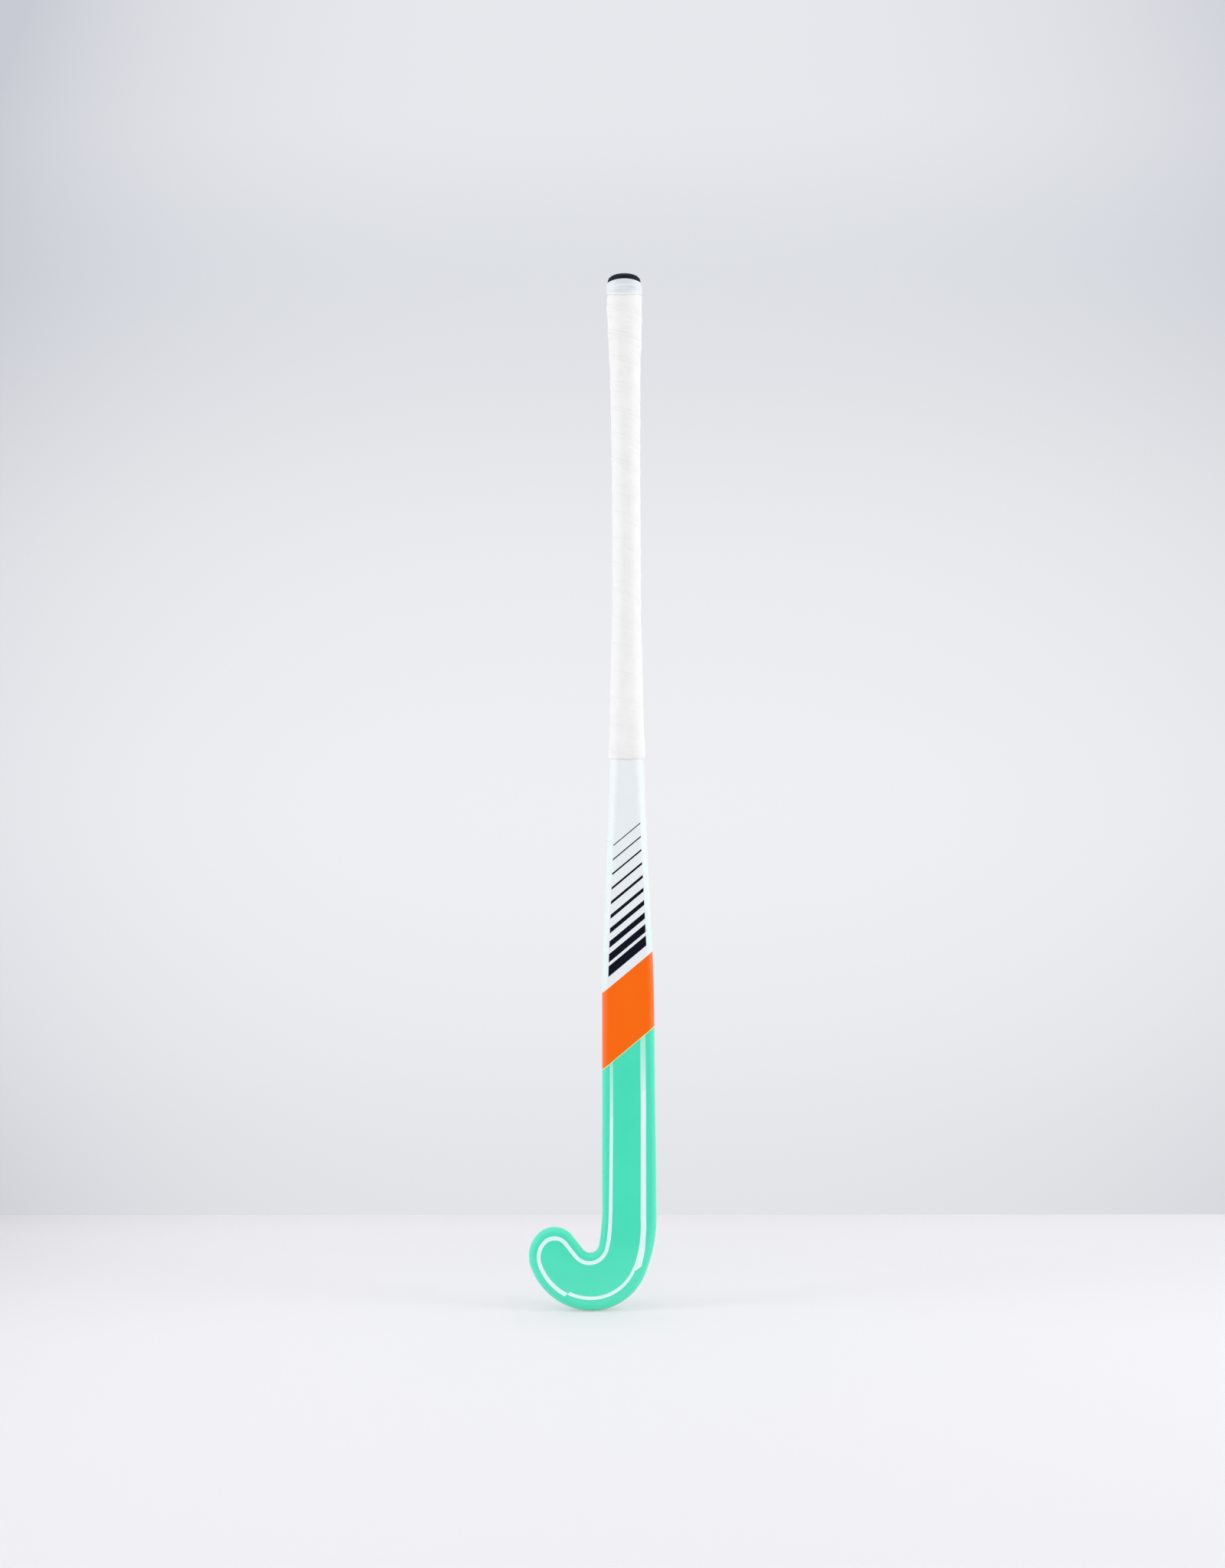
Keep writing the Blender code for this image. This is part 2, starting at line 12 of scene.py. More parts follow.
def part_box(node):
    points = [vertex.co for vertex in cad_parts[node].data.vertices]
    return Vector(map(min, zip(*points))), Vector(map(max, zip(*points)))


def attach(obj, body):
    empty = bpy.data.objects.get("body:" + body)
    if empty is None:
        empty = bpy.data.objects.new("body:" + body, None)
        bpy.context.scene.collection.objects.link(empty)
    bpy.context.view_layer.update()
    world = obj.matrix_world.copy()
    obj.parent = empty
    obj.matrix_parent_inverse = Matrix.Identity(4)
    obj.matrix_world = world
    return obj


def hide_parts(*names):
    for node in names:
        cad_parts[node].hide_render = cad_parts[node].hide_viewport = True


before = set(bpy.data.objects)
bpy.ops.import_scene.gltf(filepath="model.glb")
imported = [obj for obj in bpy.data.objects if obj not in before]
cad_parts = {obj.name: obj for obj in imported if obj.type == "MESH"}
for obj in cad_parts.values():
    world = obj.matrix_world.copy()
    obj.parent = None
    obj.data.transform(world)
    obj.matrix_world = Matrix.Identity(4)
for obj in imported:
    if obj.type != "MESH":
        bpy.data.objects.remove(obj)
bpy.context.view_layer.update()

MM = 0.001

# Gap that the solids keep between pieces that touch
FIT_GAP = 0.3 * MM

# Outline and bow, as the solids have them
HEAD_TOP = 100.0 * MM
BOW_PEAK = 300.0 * MM
SHAFT_TOP = 912.5 * MM
CAP_EDGE = 918.8 * MM
STICK_TOP = 926.6 * MM
BOW_DEPTH = 18.0 * MM
BOW_AT_BUTT = 4.0 * MM
FACE_LEAN = 2 * BOW_DEPTH / (HEAD_TOP + BOW_PEAK)
SHELL_WALL = 2.4 * MM
HEAD_HALF_WIDTH = 24.4 * MM
HEEL_SIDE_START = 81.8 * MM

# Slight sideways bow of the handle, which the solids leave out
SIDE_BOW_START = 530.0 * MM
SIDE_BOW = 0.85 * MM

# Head outline from the heel's side round the toe: arcs of a radius in mm and a turn in
# degrees, the straight neck, and the crook's arc, which turns the other way
HEAD_ARCS = ((126.0, 23.8), (52.0, 67.4), (58.4, 69.0), (27.4, 67.5), (20.8, 94.1))
NECK_LENGTH = 15.2 * MM
CROOK_RADIUS = 8.0 * MM
CROOK_TURN = 132.0

# Sections up the shaft, by height, all in mm. The flats go out from the middle, and rim is
# how far behind the face the section is widest
Section = namedtuple("Section", "half_width depth face_flat back_flat rim")
SHAFT_SECTIONS = {
    100.0: Section(24.4, 20.5, 17.4, 5.0, 7.0),
    180.0: Section(24.0, 21.0, 17.0, 5.0, 7.2),
    280.0: Section(23.6, 22.0, 16.0, 4.5, 8.0),
    350.0: Section(21.1, 23.0, 13.0, 3.5, 9.2),
    420.0: Section(17.9, 24.0, 8.5, 2.2, 10.8),
    487.0: Section(15.6, 25.0, 4.5, 1.2, 12.2),
    555.0: Section(12.7, 25.6, 1.5, 0.6, 12.8),
    640.0: Section(10.8, 26.0, 0.6, 0.4, 13.0),
    740.0: Section(10.6, 26.0, 0.4, 0.4, 13.0),
    829.0: Section(11.4, 25.6, 0.4, 0.4, 12.8),
    912.5: Section(12.5, 25.2, 0.4, 0.4, 12.6),
}

# Where the outline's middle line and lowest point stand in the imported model's frame
cap_low, cap_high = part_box("butt_cap")
butt_middle = (cap_low + cap_high) / 2
butt_depth = BOW_AT_BUTT + SHAFT_SECTIONS[912.5].depth * MM / 2
SHIFT = Vector(
    (butt_middle.x, butt_middle.y - butt_depth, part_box("outer_laminate")[1].z - SHAFT_TOP)
)

# Fineness of the meshes: steps round the rim, rows over the face's flat, steps along
FACE_STEPS = 8
BACK_STEPS = 14
FACE_ROWS = (0.54, 0.66, 0.77, 0.88)
ARC_STEP_DEGREES = 4.0
ARC_STEP_LENGTH = 1.1 * MM
SHAFT_STEP = 8.0 * MM
RING_STEPS = 96

# Slanted colour breaks of the print, as heights on the middle line
BAND_TOP = 301.0 * MM
BAND_BOTTOM = 232.8 * MM
BAND_SLANT = math.tan(math.radians(39.5))
BAND_EDGE = 0.8 * MM

# Hatch of the white line under the band: its pitch, and the share of it that is white
HATCH_PITCH = 2.05 * MM
HATCH_BOTTOM = 182.7 * MM
HATCH_SHARE = (0.86, 0.42)

# Fine mint hatch up the shaft's sides: what it has at the band and what it falls to
PIN_TOP = 520.0 * MM
PIN_SHARE = (0.5, 0.3)
PIN_STRENGTH = (0.4, 0.15)
PIN_REACH_TOP = 490.0 * MM
PIN_REACH = (4.3 * MM, 1.8 * MM)
PIN_REACH_BEHIND = 3.0 * MM

# Dark bars above the band, each thinner than the one below it
BAR_BOTTOM = 311.0 * MM
BAR_PITCH = 12.6 * MM
BAR_THICKNESS = 9.4 * MM
BAR_THINNING = 0.79
BAR_COUNT = 10
BAR_INSET = 5.6 * MM

# White line of the print: distances in mm of its outer and inner edge from the rim, by
# length along the rim from where the heel's side begins to curve
LINE_EDGES = {
    -150.0: (8.45, 13.15),
    -95.0: (8.5, 13.2),
    -66.0: (8.95, 13.6),
    -1.0: (9.5, 14.4),
    18.3: (8.8, 13.6),
    29.2: (7.6, 13.1),
    45.2: (6.5, 12.6),
    51.7: (10.3, 12.9),
    72.8: (10.7, 13.5),
    93.2: (10.9, 13.8),
    114.0: (10.9, 13.8),
    140.05: (10.4, 13.4),
    140.15: (7.9, 11.5),
    164.5: (7.6, 11.0),
    190.0: (7.5, 10.9),
    207.0: (7.2, 10.7),
    231.0: (7.0, 10.6),
    251.0: (6.5, 9.9),
    264.0: (6.5, 9.9),
    272.3: (6.0, 9.3),
    280.0: (5.5, 8.8),
    291.0: (6.2, 9.6),
    310.5: (6.0, 9.2),
    343.0: (6.6, 9.6),
    397.4: (7.1, 9.9),
}

# The line is cut through at a slant near the toe, and steps outwards there
LINE_STEP = (140.05, 140.15)
CUT_AT = 140.1 * MM
CUT_WIDTH = 0.7 * MM
CUT_SLANT = 0.35
CUT_MIDDLE = 10.9 * MM
CUT_REACH = 3.0 * MM

# Where the line has corners, so that the skin needs a station there
LINE_CORNERS = (45.2, 51.7, *LINE_STEP)

# What the print's maps give the shell's inside, far off the line and the rim
UNPRINTED = (-9.0, -20.0 * MM)

# Grip tape: its size, and its winding, whose pitch shrinks a little with every turn up
TAPE_WIDTH = 29.5 * MM
TAPE_THICKNESS = 0.85 * MM
TAPE_SKIVED = 0.22 * MM
TAPE_OVERLAP = 6.0 * MM
TAPE_PITCH = 24.6 * MM
TAPE_TIGHTENING = 0.065 * MM
TAPE_TURN_RUN = 88.0 * MM
TAPE_BOTTOM = 492.3 * MM
TAPE_TOP = SHAFT_TOP - FIT_GAP
TAPE_TURNS = 19.885
TAPE_STEPS = 72

# How the tape lies: gaps under it, its climb over the turn before, and its cut ends
TAPE_SEAT = 0.1 * MM
TAPE_LAYER_GAP = 0.05 * MM
TAPE_CLIMB = 2.2 * MM
TAPE_END_WIDTH = 1.2 * MM
TAPE_END_ROUND = 2.5 * MM
TAPE_END_SHARE = 0.4
TAPE_EDGE_SHARE = 0.6

# Small lump on the heel's side of the grip's lower end
LUMP = 1.0 * MM
LUMP_HEIGHT = 502.5 * MM
LUMP_REACH = 7.0 * MM

# Rows across the tape's outer and inner face, in mm from its lower edge, and the number
# of the one that its length is measured along
TAPE_OUTER_MARKS = (
    0.0, 0.2, 1.8, 3.4, 5.0, 6.2, 7.4, 8.6, 9.8, 11.0, 12.2, 13.4, 14.6, 15.8, 17.0,
    18.2, 19.4, 20.6, 21.7, 22.6, 23.4, 24.2, 25.0, 26.0, 27.0, 28.0, 28.9, 29.3, 29.5,
)
TAPE_INNER_MARKS = (0.0, 5.0, 13.0, 22.0, 23.2, 24.4, 26.0, 27.8, 29.5)
LENGTH_MARK = TAPE_INNER_MARKS.index(23.2)

# Line pressed into the tape by its upper edge, and the darker lip of that edge; both are grooves
# in the relief and carry painted shade in the colour
PRESSED_LINE = TAPE_WIDTH - 3.0 * MM
PRESSED_FADE = (0.1 * MM, 0.9 * MM)
LIP_GROOVE_AND_SHADE = (TAPE_WIDTH - 0.9 * MM, TAPE_WIDTH - 0.2 * MM)

# Wrinkles in the tape and the painted shade of its creases, which grow over these heights, and how
# far
# # the wrinkles fade towards the edges of each turn
WRINKLE = 0.09 * MM
WRINKLE_FROM = 700.0 * MM
CREASE_SHADE_FROM = 720.0 * MM
WRINKLE_FULL = 820.0 * MM
WRINKLE_FADE_BELOW = 2.0 * MM
WRINKLE_FADE_ABOVE = 0.6 * MM

# Cushioned sleeve under the tape: its thickness by height, in mm, and the tape's rise to it
UNDERLAY_BOTTOM = 530.0 * MM
UNDERLAY_THICKNESS = {530.0: 0.4, 560.0: 0.85, 740.0: 0.85, 830.0: 0.8, 893.0: 2.0, 912.2: 1.75}
UNDERLAY_RAMP = (508.0 * MM, 528.0 * MM)
UNDERLAY_RINGS = 91
UNDERLAY_RING_STEPS = 48

# Rubber cap
CAP_OUTSIDE = 2.35 * MM
CAP_BEVEL = 0.3 * MM
CAP_TOP_SHARE = 0.36
CAP_DOME_POWER = 2.6
CAP_DOME_RINGS = 22
CAP_RING_CROWDING = 1.6
STEM_BOTTOM = 885.0 * MM

# Clear band: its lower edge rises and its upper edge dips at the stick's sides
COLLAR_BOTTOM = 904.6 * MM
COLLAR_LIFT = 2.6 * MM
COLLAR_TOP = CAP_EDGE + 1.0 * MM
COLLAR_DIP = 1.6 * MM
COLLAR_THICKNESS = 0.5 * MM
COLLAR_SLACK = 0.2 * MM
COLLAR_TAPER = 7.0 * MM
COLLAR_LOW_SHARE = 0.15
COLLAR_ROUND = 0.5 * MM
COLLAR_TOP_SHARE = 0.6
COLLAR_OVER_CAP = 0.6 * FIT_GAP
COLLAR_RINGS = 31

# Looks of the clear band: how far up it fades in and stays pale, where it goes over the cap, and
# its bend
# # at the cap's edge, where a highlight is painted
FILM_FADE = (0.1 * MM, 1.3 * MM)
FILM_PALE = (1.2 * MM, 3.0 * MM)
FILM_OVER_CAP = (SHAFT_TOP + 2.0 * MM, SHAFT_TOP + 3.4 * MM)
FILM_BEND = SHAFT_TOP + 1.6 * MM
FILM_BEND_HIGHLIGHT_REACH = (0.2 * MM, 1.0 * MM)

# Stage, in metres: a floor and a backdrop that is turned a little about the upright
STAGE_HALF = 4.0
FLOOR_FRONT = -1.25
FLOOR_BACK = 0.409
WALL_TURN = 0.0245
WALL_TOP = 3.2

# Painted light and shade up the backdrop: its tones by height over the floor
BACKDROP_PAINTED_TONES = {
    0.0: (0.768, 0.775, 0.807),
    0.155: (0.811, 0.819, 0.851),
    0.35: (0.857, 0.861, 0.894),
    0.55: (0.855, 0.859, 0.892),
    0.78: (0.807, 0.815, 0.847),
    1.02: (0.730, 0.749, 0.788),
    1.2: (0.793, 0.808, 0.845),
}
BACKDROP_TOP = max(BACKDROP_PAINTED_TONES)

# Painted shade towards both sides of the stage, on the backdrop and the floor, with what the left
# has more,
# # and its limit. The backdrop's also grows away from its middle height
BACKDROP_SIDES = (0.265, 0.08)
BACKDROP_MIDDLE = 0.5
BACKDROP_CORNERS = 3.4
BACKDROP_DARKEST = 0.27
FLOOR_SIDES = (0.34, 0.24)
FLOOR_DARKEST = 0.3

# Where the floor has painted shade at the backdrop and painted light to the front, and goes from
# lit paint
# # to its own level at the sides
FLOOR_SEAM = (0.33, 0.41)
FLOOR_SEAM_SHADE = 0.03
FLOOR_NEAR_LIGHT = (0.16, -0.1)
FLOOR_OWN_SHARE = 0.4
FLOOR_OWN_FROM = (0.85, 1.15)

# Light: two upright softboxes, and pale air, whose level in gloss is another
LAMP_PLACES = {
    "left_softbox": (-1.3, -0.36, 0.62),
    "right_softbox": (1.3, -0.32, 0.62),
}
LAMP_TARGET = Vector((SHIFT.x, 0.0, 0.45))
LAMP_WIDTH = 0.4
LAMP_HEIGHT = 1.8
LAMP_POWER = 7.8
AIR_COLOUR = (0.985, 0.985, 0.99, 1.0)
AIR_LEVEL = 0.87
AIR_IN_GLOSS = 1.25
AIR_RISE = 1.8
AIR_RISE_TO_RIGHT = 0.8

# Camera, placed from the stick's middle line and its plane, with its roll in degrees
CAMERA_DISTANCE = 1.915
CAMERA_LEFT = 12.95 * MM
CAMERA_HEIGHT = 469.9 * MM
CAMERA_ROLL = 0.32
CAMERA_LENS = 48.97
STICK_PLANE = -4.0 * MM


def share_up(value, low, high):
    """How far the value has come from low to high, held between 0 and 1."""
    return min(max((value - low) / (high - low), 0.0), 1.0)


def eased(share):
    """The share, made to start and end level."""
    return share * share * (3 - 2 * share)


def slopes(knots, values):
    """Slopes at the knots of a curve that never swings past its own values."""
    ends = zip(knots, knots[1:], values, values[1:])
    rises = [(value - last) / (knot - before) for before, knot, last, value in ends]
    inner = []
    for before, after in zip(rises, rises[1:]):
        both = before * after
        inner.append(2 * both / (before + after) if both > 0 else 0.0)
    return [0.0] + inner + [rises[-1]]


def find(knots, place):
    """Number of the knot before a place, and the share of the way to the next knot."""
    at = min(max(place / MM, knots[0]), knots[-1])
    i = max(k for k in range(len(knots) - 1) if knots[k] <= at)
    return i, (at - knots[i]) / (knots[i + 1] - knots[i])


def follow(table, place):
    """Smooth value at this place, in metres, from a table of places and values in mm."""
    knots = list(table)
    values = list(table.values())
    i, t = find(knots, place)
    span = knots[i + 1] - knots[i]
    tangents = slopes(knots, values)
    return MM * (
        (1 + 2 * t) * (1 - t) ** 2 * values[i]
        + t * (1 - t) ** 2 * span * tangents[i]
        + t * t * (3 - 2 * t) * values[i + 1]
        + t * t * (t - 1) * span * tangents[i + 1]
    )


def line_edges(place):
    """The white line's outer and inner edge, straight between the table's places."""
    knots = list(LINE_EDGES)
    i, t = find(knots, place)
    pairs = zip(LINE_EDGES[knots[i]], LINE_EDGES[knots[i + 1]])
    return [MM * (first + t * (second - first)) for first, second in pairs]


@lru_cache(maxsize=None)
def section_at(height):
    """The bare moulding's section, smooth between those of the table."""
    columns = zip(*SHAFT_SECTIONS.values())
    heights = SHAFT_SECTIONS.keys()
    return Section(*(follow(dict(zip(heights, column)), height) for column in columns))


def section(height):
    """The bare moulding's section at this height, taken to the nearest hundredth of a mm."""
    return section_at(round(height, 5))


def face_line(height):
    """Depth of the face: straight up the head, then one smooth bow to the butt."""
    if height <= HEAD_TOP:
        return FACE_LEAN * height
    if height <= BOW_PEAK:
        above = height - HEAD_TOP
        return FACE_LEAN * (height - above * above / (2 * (BOW_PEAK - HEAD_TOP)))
    share = share_up(height, BOW_PEAK, SHAFT_TOP)
    return BOW_AT_BUTT + (BOW_DEPTH - BOW_AT_BUTT) * math.cos(math.pi / 2 * share)


def aside(height):
    """Slight sideways bow of the handle, as the photographed one has it."""
    return SIDE_BOW * math.sin(math.pi * share_up(height, SIDE_BOW_START, SHAFT_TOP))


def around(height, turn, out):
    """Point on the section, out metres outside the bare moulding. Turn 0 is the +X rim."""
    s = section(height)
    quadrant = int(4 * (turn % 1.0))
    share = 4 * (turn % 1.0) - quadrant
    if quadrant % 2:
        share = 1.0 - share
    on_back = quadrant < 2
    flat = s.back_flat if on_back else s.face_flat
    reach = s.half_width - flat + out
    rise = (s.depth - s.rim if on_back else s.rim) + out
    bend = reach / (reach + flat)
    angle = math.pi / 2 * min(share / bend, 1.0)
    x = flat + reach * math.cos(angle)
    if share > bend:
        x = flat * (1.0 - share) / (1.0 - bend)
    y = rise * math.sin(angle)
    x = aside(height) + (x if quadrant in (0, 3) else -x)
    y = face_line(height) + s.rim + (y if on_back else -y)
    return SHIFT + Vector((x, y, height))


def ring(height, out, level=None, steps=RING_STEPS):
    """Closed ring, out metres off the section at this height, moved to level if given."""
    points = [around(height, i / steps, out) for i in range(steps)]
    for point in points:
        point.z = SHIFT.z + (height if level is None else level)
    return points


def add_object(name, data):
    """New object in the scene."""
    obj = bpy.data.objects.new(name, data)
    bpy.context.scene.collection.objects.link(obj)
    return obj


def finish_mesh(name, bm, material, sharp=40):
    """Smooth object with outward faces. Edges over this angle, in degrees, stay sharp."""
    bmesh.ops.recalc_face_normals(bm, faces=bm.faces)
    mesh = bpy.data.meshes.new(name)
    bm.to_mesh(mesh)
    bm.free()
    mesh.shade_smooth()
    mesh.set_sharp_from_angle(angle=math.radians(sharp))
    mesh.materials.append(material)
    return add_object(name, mesh)


def add_strip(bm, first, second, closed=False):
    """Quads between two rows of vertices of equal length."""
    count = len(first)
    for i in range(count if closed else count - 1):
        j = (i + 1) % count
        bm.faces.new((first[i], first[j], second[j], second[i]))


def add_loft(bm, rings, caps=True):
    """Skin through closed rings of points. Returns the first and the last ring's vertices."""
    rows = [[bm.verts.new(point) for point in points] for points in rings]
    for first, second in zip(rows, rows[1:]):
        add_strip(bm, first, second, closed=True)
    if caps:
        bm.faces.new(rows[0])
        bm.faces.new(rows[-1])
    return rows[0], rows[-1]


def add_tube(bm, outer, inner):
    """Tube wall between outer and inner rings of points, closed at both its ends."""
    walls = [add_loft(bm, rings, caps=False) for rings in (outer, inner)]
    for outside, inside in zip(*walls):
        add_strip(bm, outside, inside, closed=True)


def add_map(bm, name, place):
    """UV map with the two coordinates that place gives for each vertex."""
    layer = bm.loops.layers.uv.new(name)
    bm.verts.index_update()
    for face in bm.faces:
        for loop in face.loops:
            loop[layer].uv = place(loop.vert)


# Shader helpers


class Nodes:
    """A node tree, with short calls for the nodes that a look is made of."""

    def __init__(self, tree):
        self.nodes = tree.nodes
        self.links = tree.links

    def plug(self, value, socket):
        """Links an output to this socket, or sets the socket to a constant."""
        if isinstance(value, bpy.types.NodeSocket):
            self.links.new(value, socket)
        else:
            socket.default_value = value

    def new(self, kind, *values, **named):
        """New node of this kind, with what goes into its sockets, in order or by name."""
        node = self.nodes.new("ShaderNode" + kind)
        for value, socket in zip(values, node.inputs):
            self.plug(value, socket)
        for name, value in named.items():
            self.plug(value, node.inputs[name])
        return node

    def maths(self, operation, *values):
        node = self.new("Math", *values)
        node.operation = operation
        return node.outputs[0]

    def add(self, a, b):
        return self.maths("ADD", a, b)

    def times(self, a, b):
        return self.maths("MULTIPLY", a, b)

    def over(self, a, b):
        """1 where a is over b."""
        return self.maths("GREATER_THAN", a, b)

    def inside(self, value, low, high):
        """1 where the value is over low and under high."""
        return self.times(self.over(value, low), self.over(high, value))

    def parts(self, vector):
        """The vector's X, Y and Z."""
        return self.new("SeparateXYZ", vector).outputs

    def place(self, kind="Object"):
        """X, Y and Z of this kind of texture coordinates."""
        return self.parts(self.new("TexCoord").outputs[kind])

    def map_place(self, name):
        """The two coordinates of a UV map."""
        node = self.new("UVMap")
        node.uv_map = name
        first, second, _ = self.parts(node.outputs[0])
        return first, second

    def stretched(self, scale=(1, 1, 1)):
        """Object coordinates, scaled apart along X, Y and Z."""
        place = self.new("TexCoord").outputs["Object"]
        return self.new("Mapping", Vector=place, Scale=scale).outputs[0]

    def vector(self, x, y):
        return self.new("CombineXYZ", x, y).outputs[0]

    def noise(self, scale, detail=3.0, roughness=0.55, place=None):
        """Smooth noise, in object coordinates where no place is given."""
        if place is None:
            place = self.stretched()
        node = self.new("TexNoise", Vector=place, Scale=scale, Detail=detail, Roughness=roughness)
        return node.outputs["Fac"]

    def between(self, value, low, high, to_low, to_high):
        """The value, led from low and high to other limits and held between those."""
        return self.new("MapRange", value, low, high, to_low, to_high).outputs[0]

    def mix(self, share, first, second):
        """Colour on the way from the first to the second."""
        node = self.new("Mix", share)
        node.data_type = "RGBA"
        for value, socket in ((first, node.inputs[6]), (second, node.inputs[7])):
            if isinstance(value, tuple):
                value = (*value, 1.0)
            self.plug(value, socket)
        return node.outputs[2]


class Shader(Nodes):
    """A material's nodes, and the surface that they lead to."""

    def __init__(self, name, colour, roughness):
        self.material = bpy.data.materials.new(name)
        self.material.use_nodes = True
        super().__init__(self.material.node_tree)
        self.surface = self.nodes["Principled BSDF"]
        self.set("Base Color", (*colour, 1.0))
        self.set("Roughness", roughness)

    def set(self, socket, value):
        """Plugs the value into this socket of the surface."""
        self.plug(value, self.surface.inputs[socket])

    def give_way(self, share, other):
        """Lets what is shown so far give way, in this share, to another shader."""
        output = self.nodes["Material Output"].inputs["Surface"]
        both = self.new("MixShader", share, output.links[0].from_socket, other)
        self.plug(both.outputs[0], output)

    def own_level(self, colour, share):
        """Shows this colour as it is, in this share, to the camera and in gloss and glass."""
        glow = self.new("Emission", Color=colour)
        path = self.new("LightPath").outputs
        seen = self.maths("MAXIMUM", path["Is Camera Ray"], path["Is Glossy Ray"])
        seen = self.maths("MAXIMUM", seen, path["Is Transmission Ray"])
        self.give_way(self.times(seen, share), glow.outputs[0])

    def clear_from_behind(self):
        """Lets the other views look through a backdrop that stands before them."""
        behind = self.new("NewGeometry").outputs["Backfacing"]
        self.give_way(behind, self.new("BsdfTransparent").outputs[0])

    def bump(self, height, strength, distance):
        """Fine relief, without a change of shape."""
        node = self.new("Bump", Strength=strength, Distance=distance, Height=height)
        self.set("Normal", node.outputs[0])


# Colours of the print
MINT = (0.066, 0.755, 0.50)
MINT_LIGHT = (0.074, 0.775, 0.52)
MINT_PALE = (0.42, 0.88, 0.76)
ORANGE = (1.0, 0.142, 0.0005)
ORANGE_LIGHT = (1.0, 0.152, 0.001)
PEARL = (0.825, 0.875, 0.893)
PEARL_LIGHT = (0.832, 0.885, 0.897)
PEARL_FLAKE = (0.9, 0.93, 0.945)
LINE_WHITE = (0.78, 0.945, 0.935)
LEMON = (0.80, 0.76, 0.22)
INK = (0.0065, 0.008, 0.017)


def side_hatch(s, slanted, stripe, rim):
    """Fine mint hatch along the pearl shaft's rounded sides, fading upwards."""
    share = s.between(slanted, BAND_TOP, PIN_TOP, *PIN_SHARE)
    reach = s.between(slanted, BAND_TOP, PIN_REACH_TOP, *PIN_REACH)
    pins = s.times(s.over(share, stripe), s.inside(rim, -PIN_REACH_BEHIND, reach))
    return s.times(pins, s.between(slanted, BAND_TOP, PIN_TOP, *PIN_STRENGTH))


def dark_bars(s, slanted, rim):
    """Dark bars across the face, which thin out towards the handle."""
    above = s.add(slanted, -BAR_BOTTOM)
    count = s.maths("FLOOR", s.maths("DIVIDE", above, BAR_PITCH))
    into_bar = s.add(above, s.times(count, -BAR_PITCH))
    thick = s.times(s.maths("POWER", BAR_THINNING, count), BAR_THICKNESS)
    bars = s.times(s.over(thick, into_bar), s.inside(count, -0.5, BAR_COUNT - 0.5))
    return s.times(bars, s.over(rim, BAR_INSET))


def white_line(s, slanted, stripe, rim):
    """White line round the head, cut near the toe and hatched where it nears the band."""
    along, across = s.map_place("print_line")
    to_cut = s.add(along, -CUT_AT)
    past_cut = s.add(to_cut, s.times(s.add(rim, -CUT_MIDDLE), CUT_SLANT))
    heel_part, toe_part = (
        s.inside(rim, *(edge * MM for edge in LINE_EDGES[place])) for place in LINE_STEP
    )
    heel_part = s.times(heel_part, s.over(-CUT_WIDTH / 2, past_cut))
    toe_part = s.times(toe_part, s.over(past_cut, CUT_WIDTH / 2))
    by_cut = s.maths("MAXIMUM", heel_part, toe_part)
    near_cut = s.inside(to_cut, -CUT_REACH, CUT_REACH)
    elsewhere = s.times(s.inside(across, 0.0, 1.0), s.over(0.5, near_cut))
    on_line = s.maths("MAXIMUM", elsewhere, s.times(by_cut, near_cut))
    hatch_share = s.between(slanted, HATCH_BOTTOM, BAND_BOTTOM, *HATCH_SHARE)
    solid = s.over(HATCH_BOTTOM, slanted)
    return s.times(on_line, s.maths("MAXIMUM", solid, s.over(hatch_share, stripe)))


def printed_lacquer():
    """Print under a clear lacquer: mint head, orange band and pearl shaft."""
    s = Shader("printed_lacquer", PEARL, 0.24)
    x, _, z = s.place()
    rim, _ = s.map_place("print_rim")
    slanted = s.add(s.add(z, -SHIFT.z), s.times(s.add(x, -SHIFT.x), -BAND_SLANT))
    stripe = s.maths("FRACT", s.maths("DIVIDE", slanted, HATCH_PITCH))
    cloud = s.noise(22.0, 2.0)
    cloudy = s.between(cloud, 0.3, 0.7, 0.0, 1.0)
    flake = s.noise(2600.0, 1.0, 0.5)

    pearl = s.mix(s.between(cloud, 0.35, 0.65, 0.0, 1.0), PEARL, PEARL_LIGHT)
    pearl = s.mix(s.between(flake, 0.56, 0.72, 0.0, 0.5), pearl, PEARL_FLAKE)
    pearl = s.mix(side_hatch(s, slanted, stripe, rim), pearl, MINT_PALE)
    pearl = s.mix(dark_bars(s, slanted, rim), pearl, INK)
    mint = s.mix(cloudy, MINT, MINT_LIGHT)
    mint = s.mix(white_line(s, slanted, stripe, rim), mint, LINE_WHITE)
    mint = s.mix(s.over(slanted, BAND_BOTTOM - BAND_EDGE), mint, LEMON)
    orange = s.mix(cloudy, ORANGE, ORANGE_LIGHT)
    colour = s.mix(s.over(slanted, BAND_BOTTOM), mint, orange)
    colour = s.mix(s.over(slanted, BAND_TOP), colour, pearl)

    s.set("Base Color", colour)
    s.set("Roughness", s.between(cloud, 0.3, 0.7, 0.22, 0.28))
    s.set("Specular IOR Level", 0.12)
    s.set("Coat Weight", 1.0)
    s.set("Coat Roughness", 0.1)
    s.set("Sheen Weight", 0.5)
    s.set("Sheen Roughness", 0.3)
    s.bump(s.noise(240.0, 2.0, 0.4), 0.05, 0.2 * MM)
    return s.material


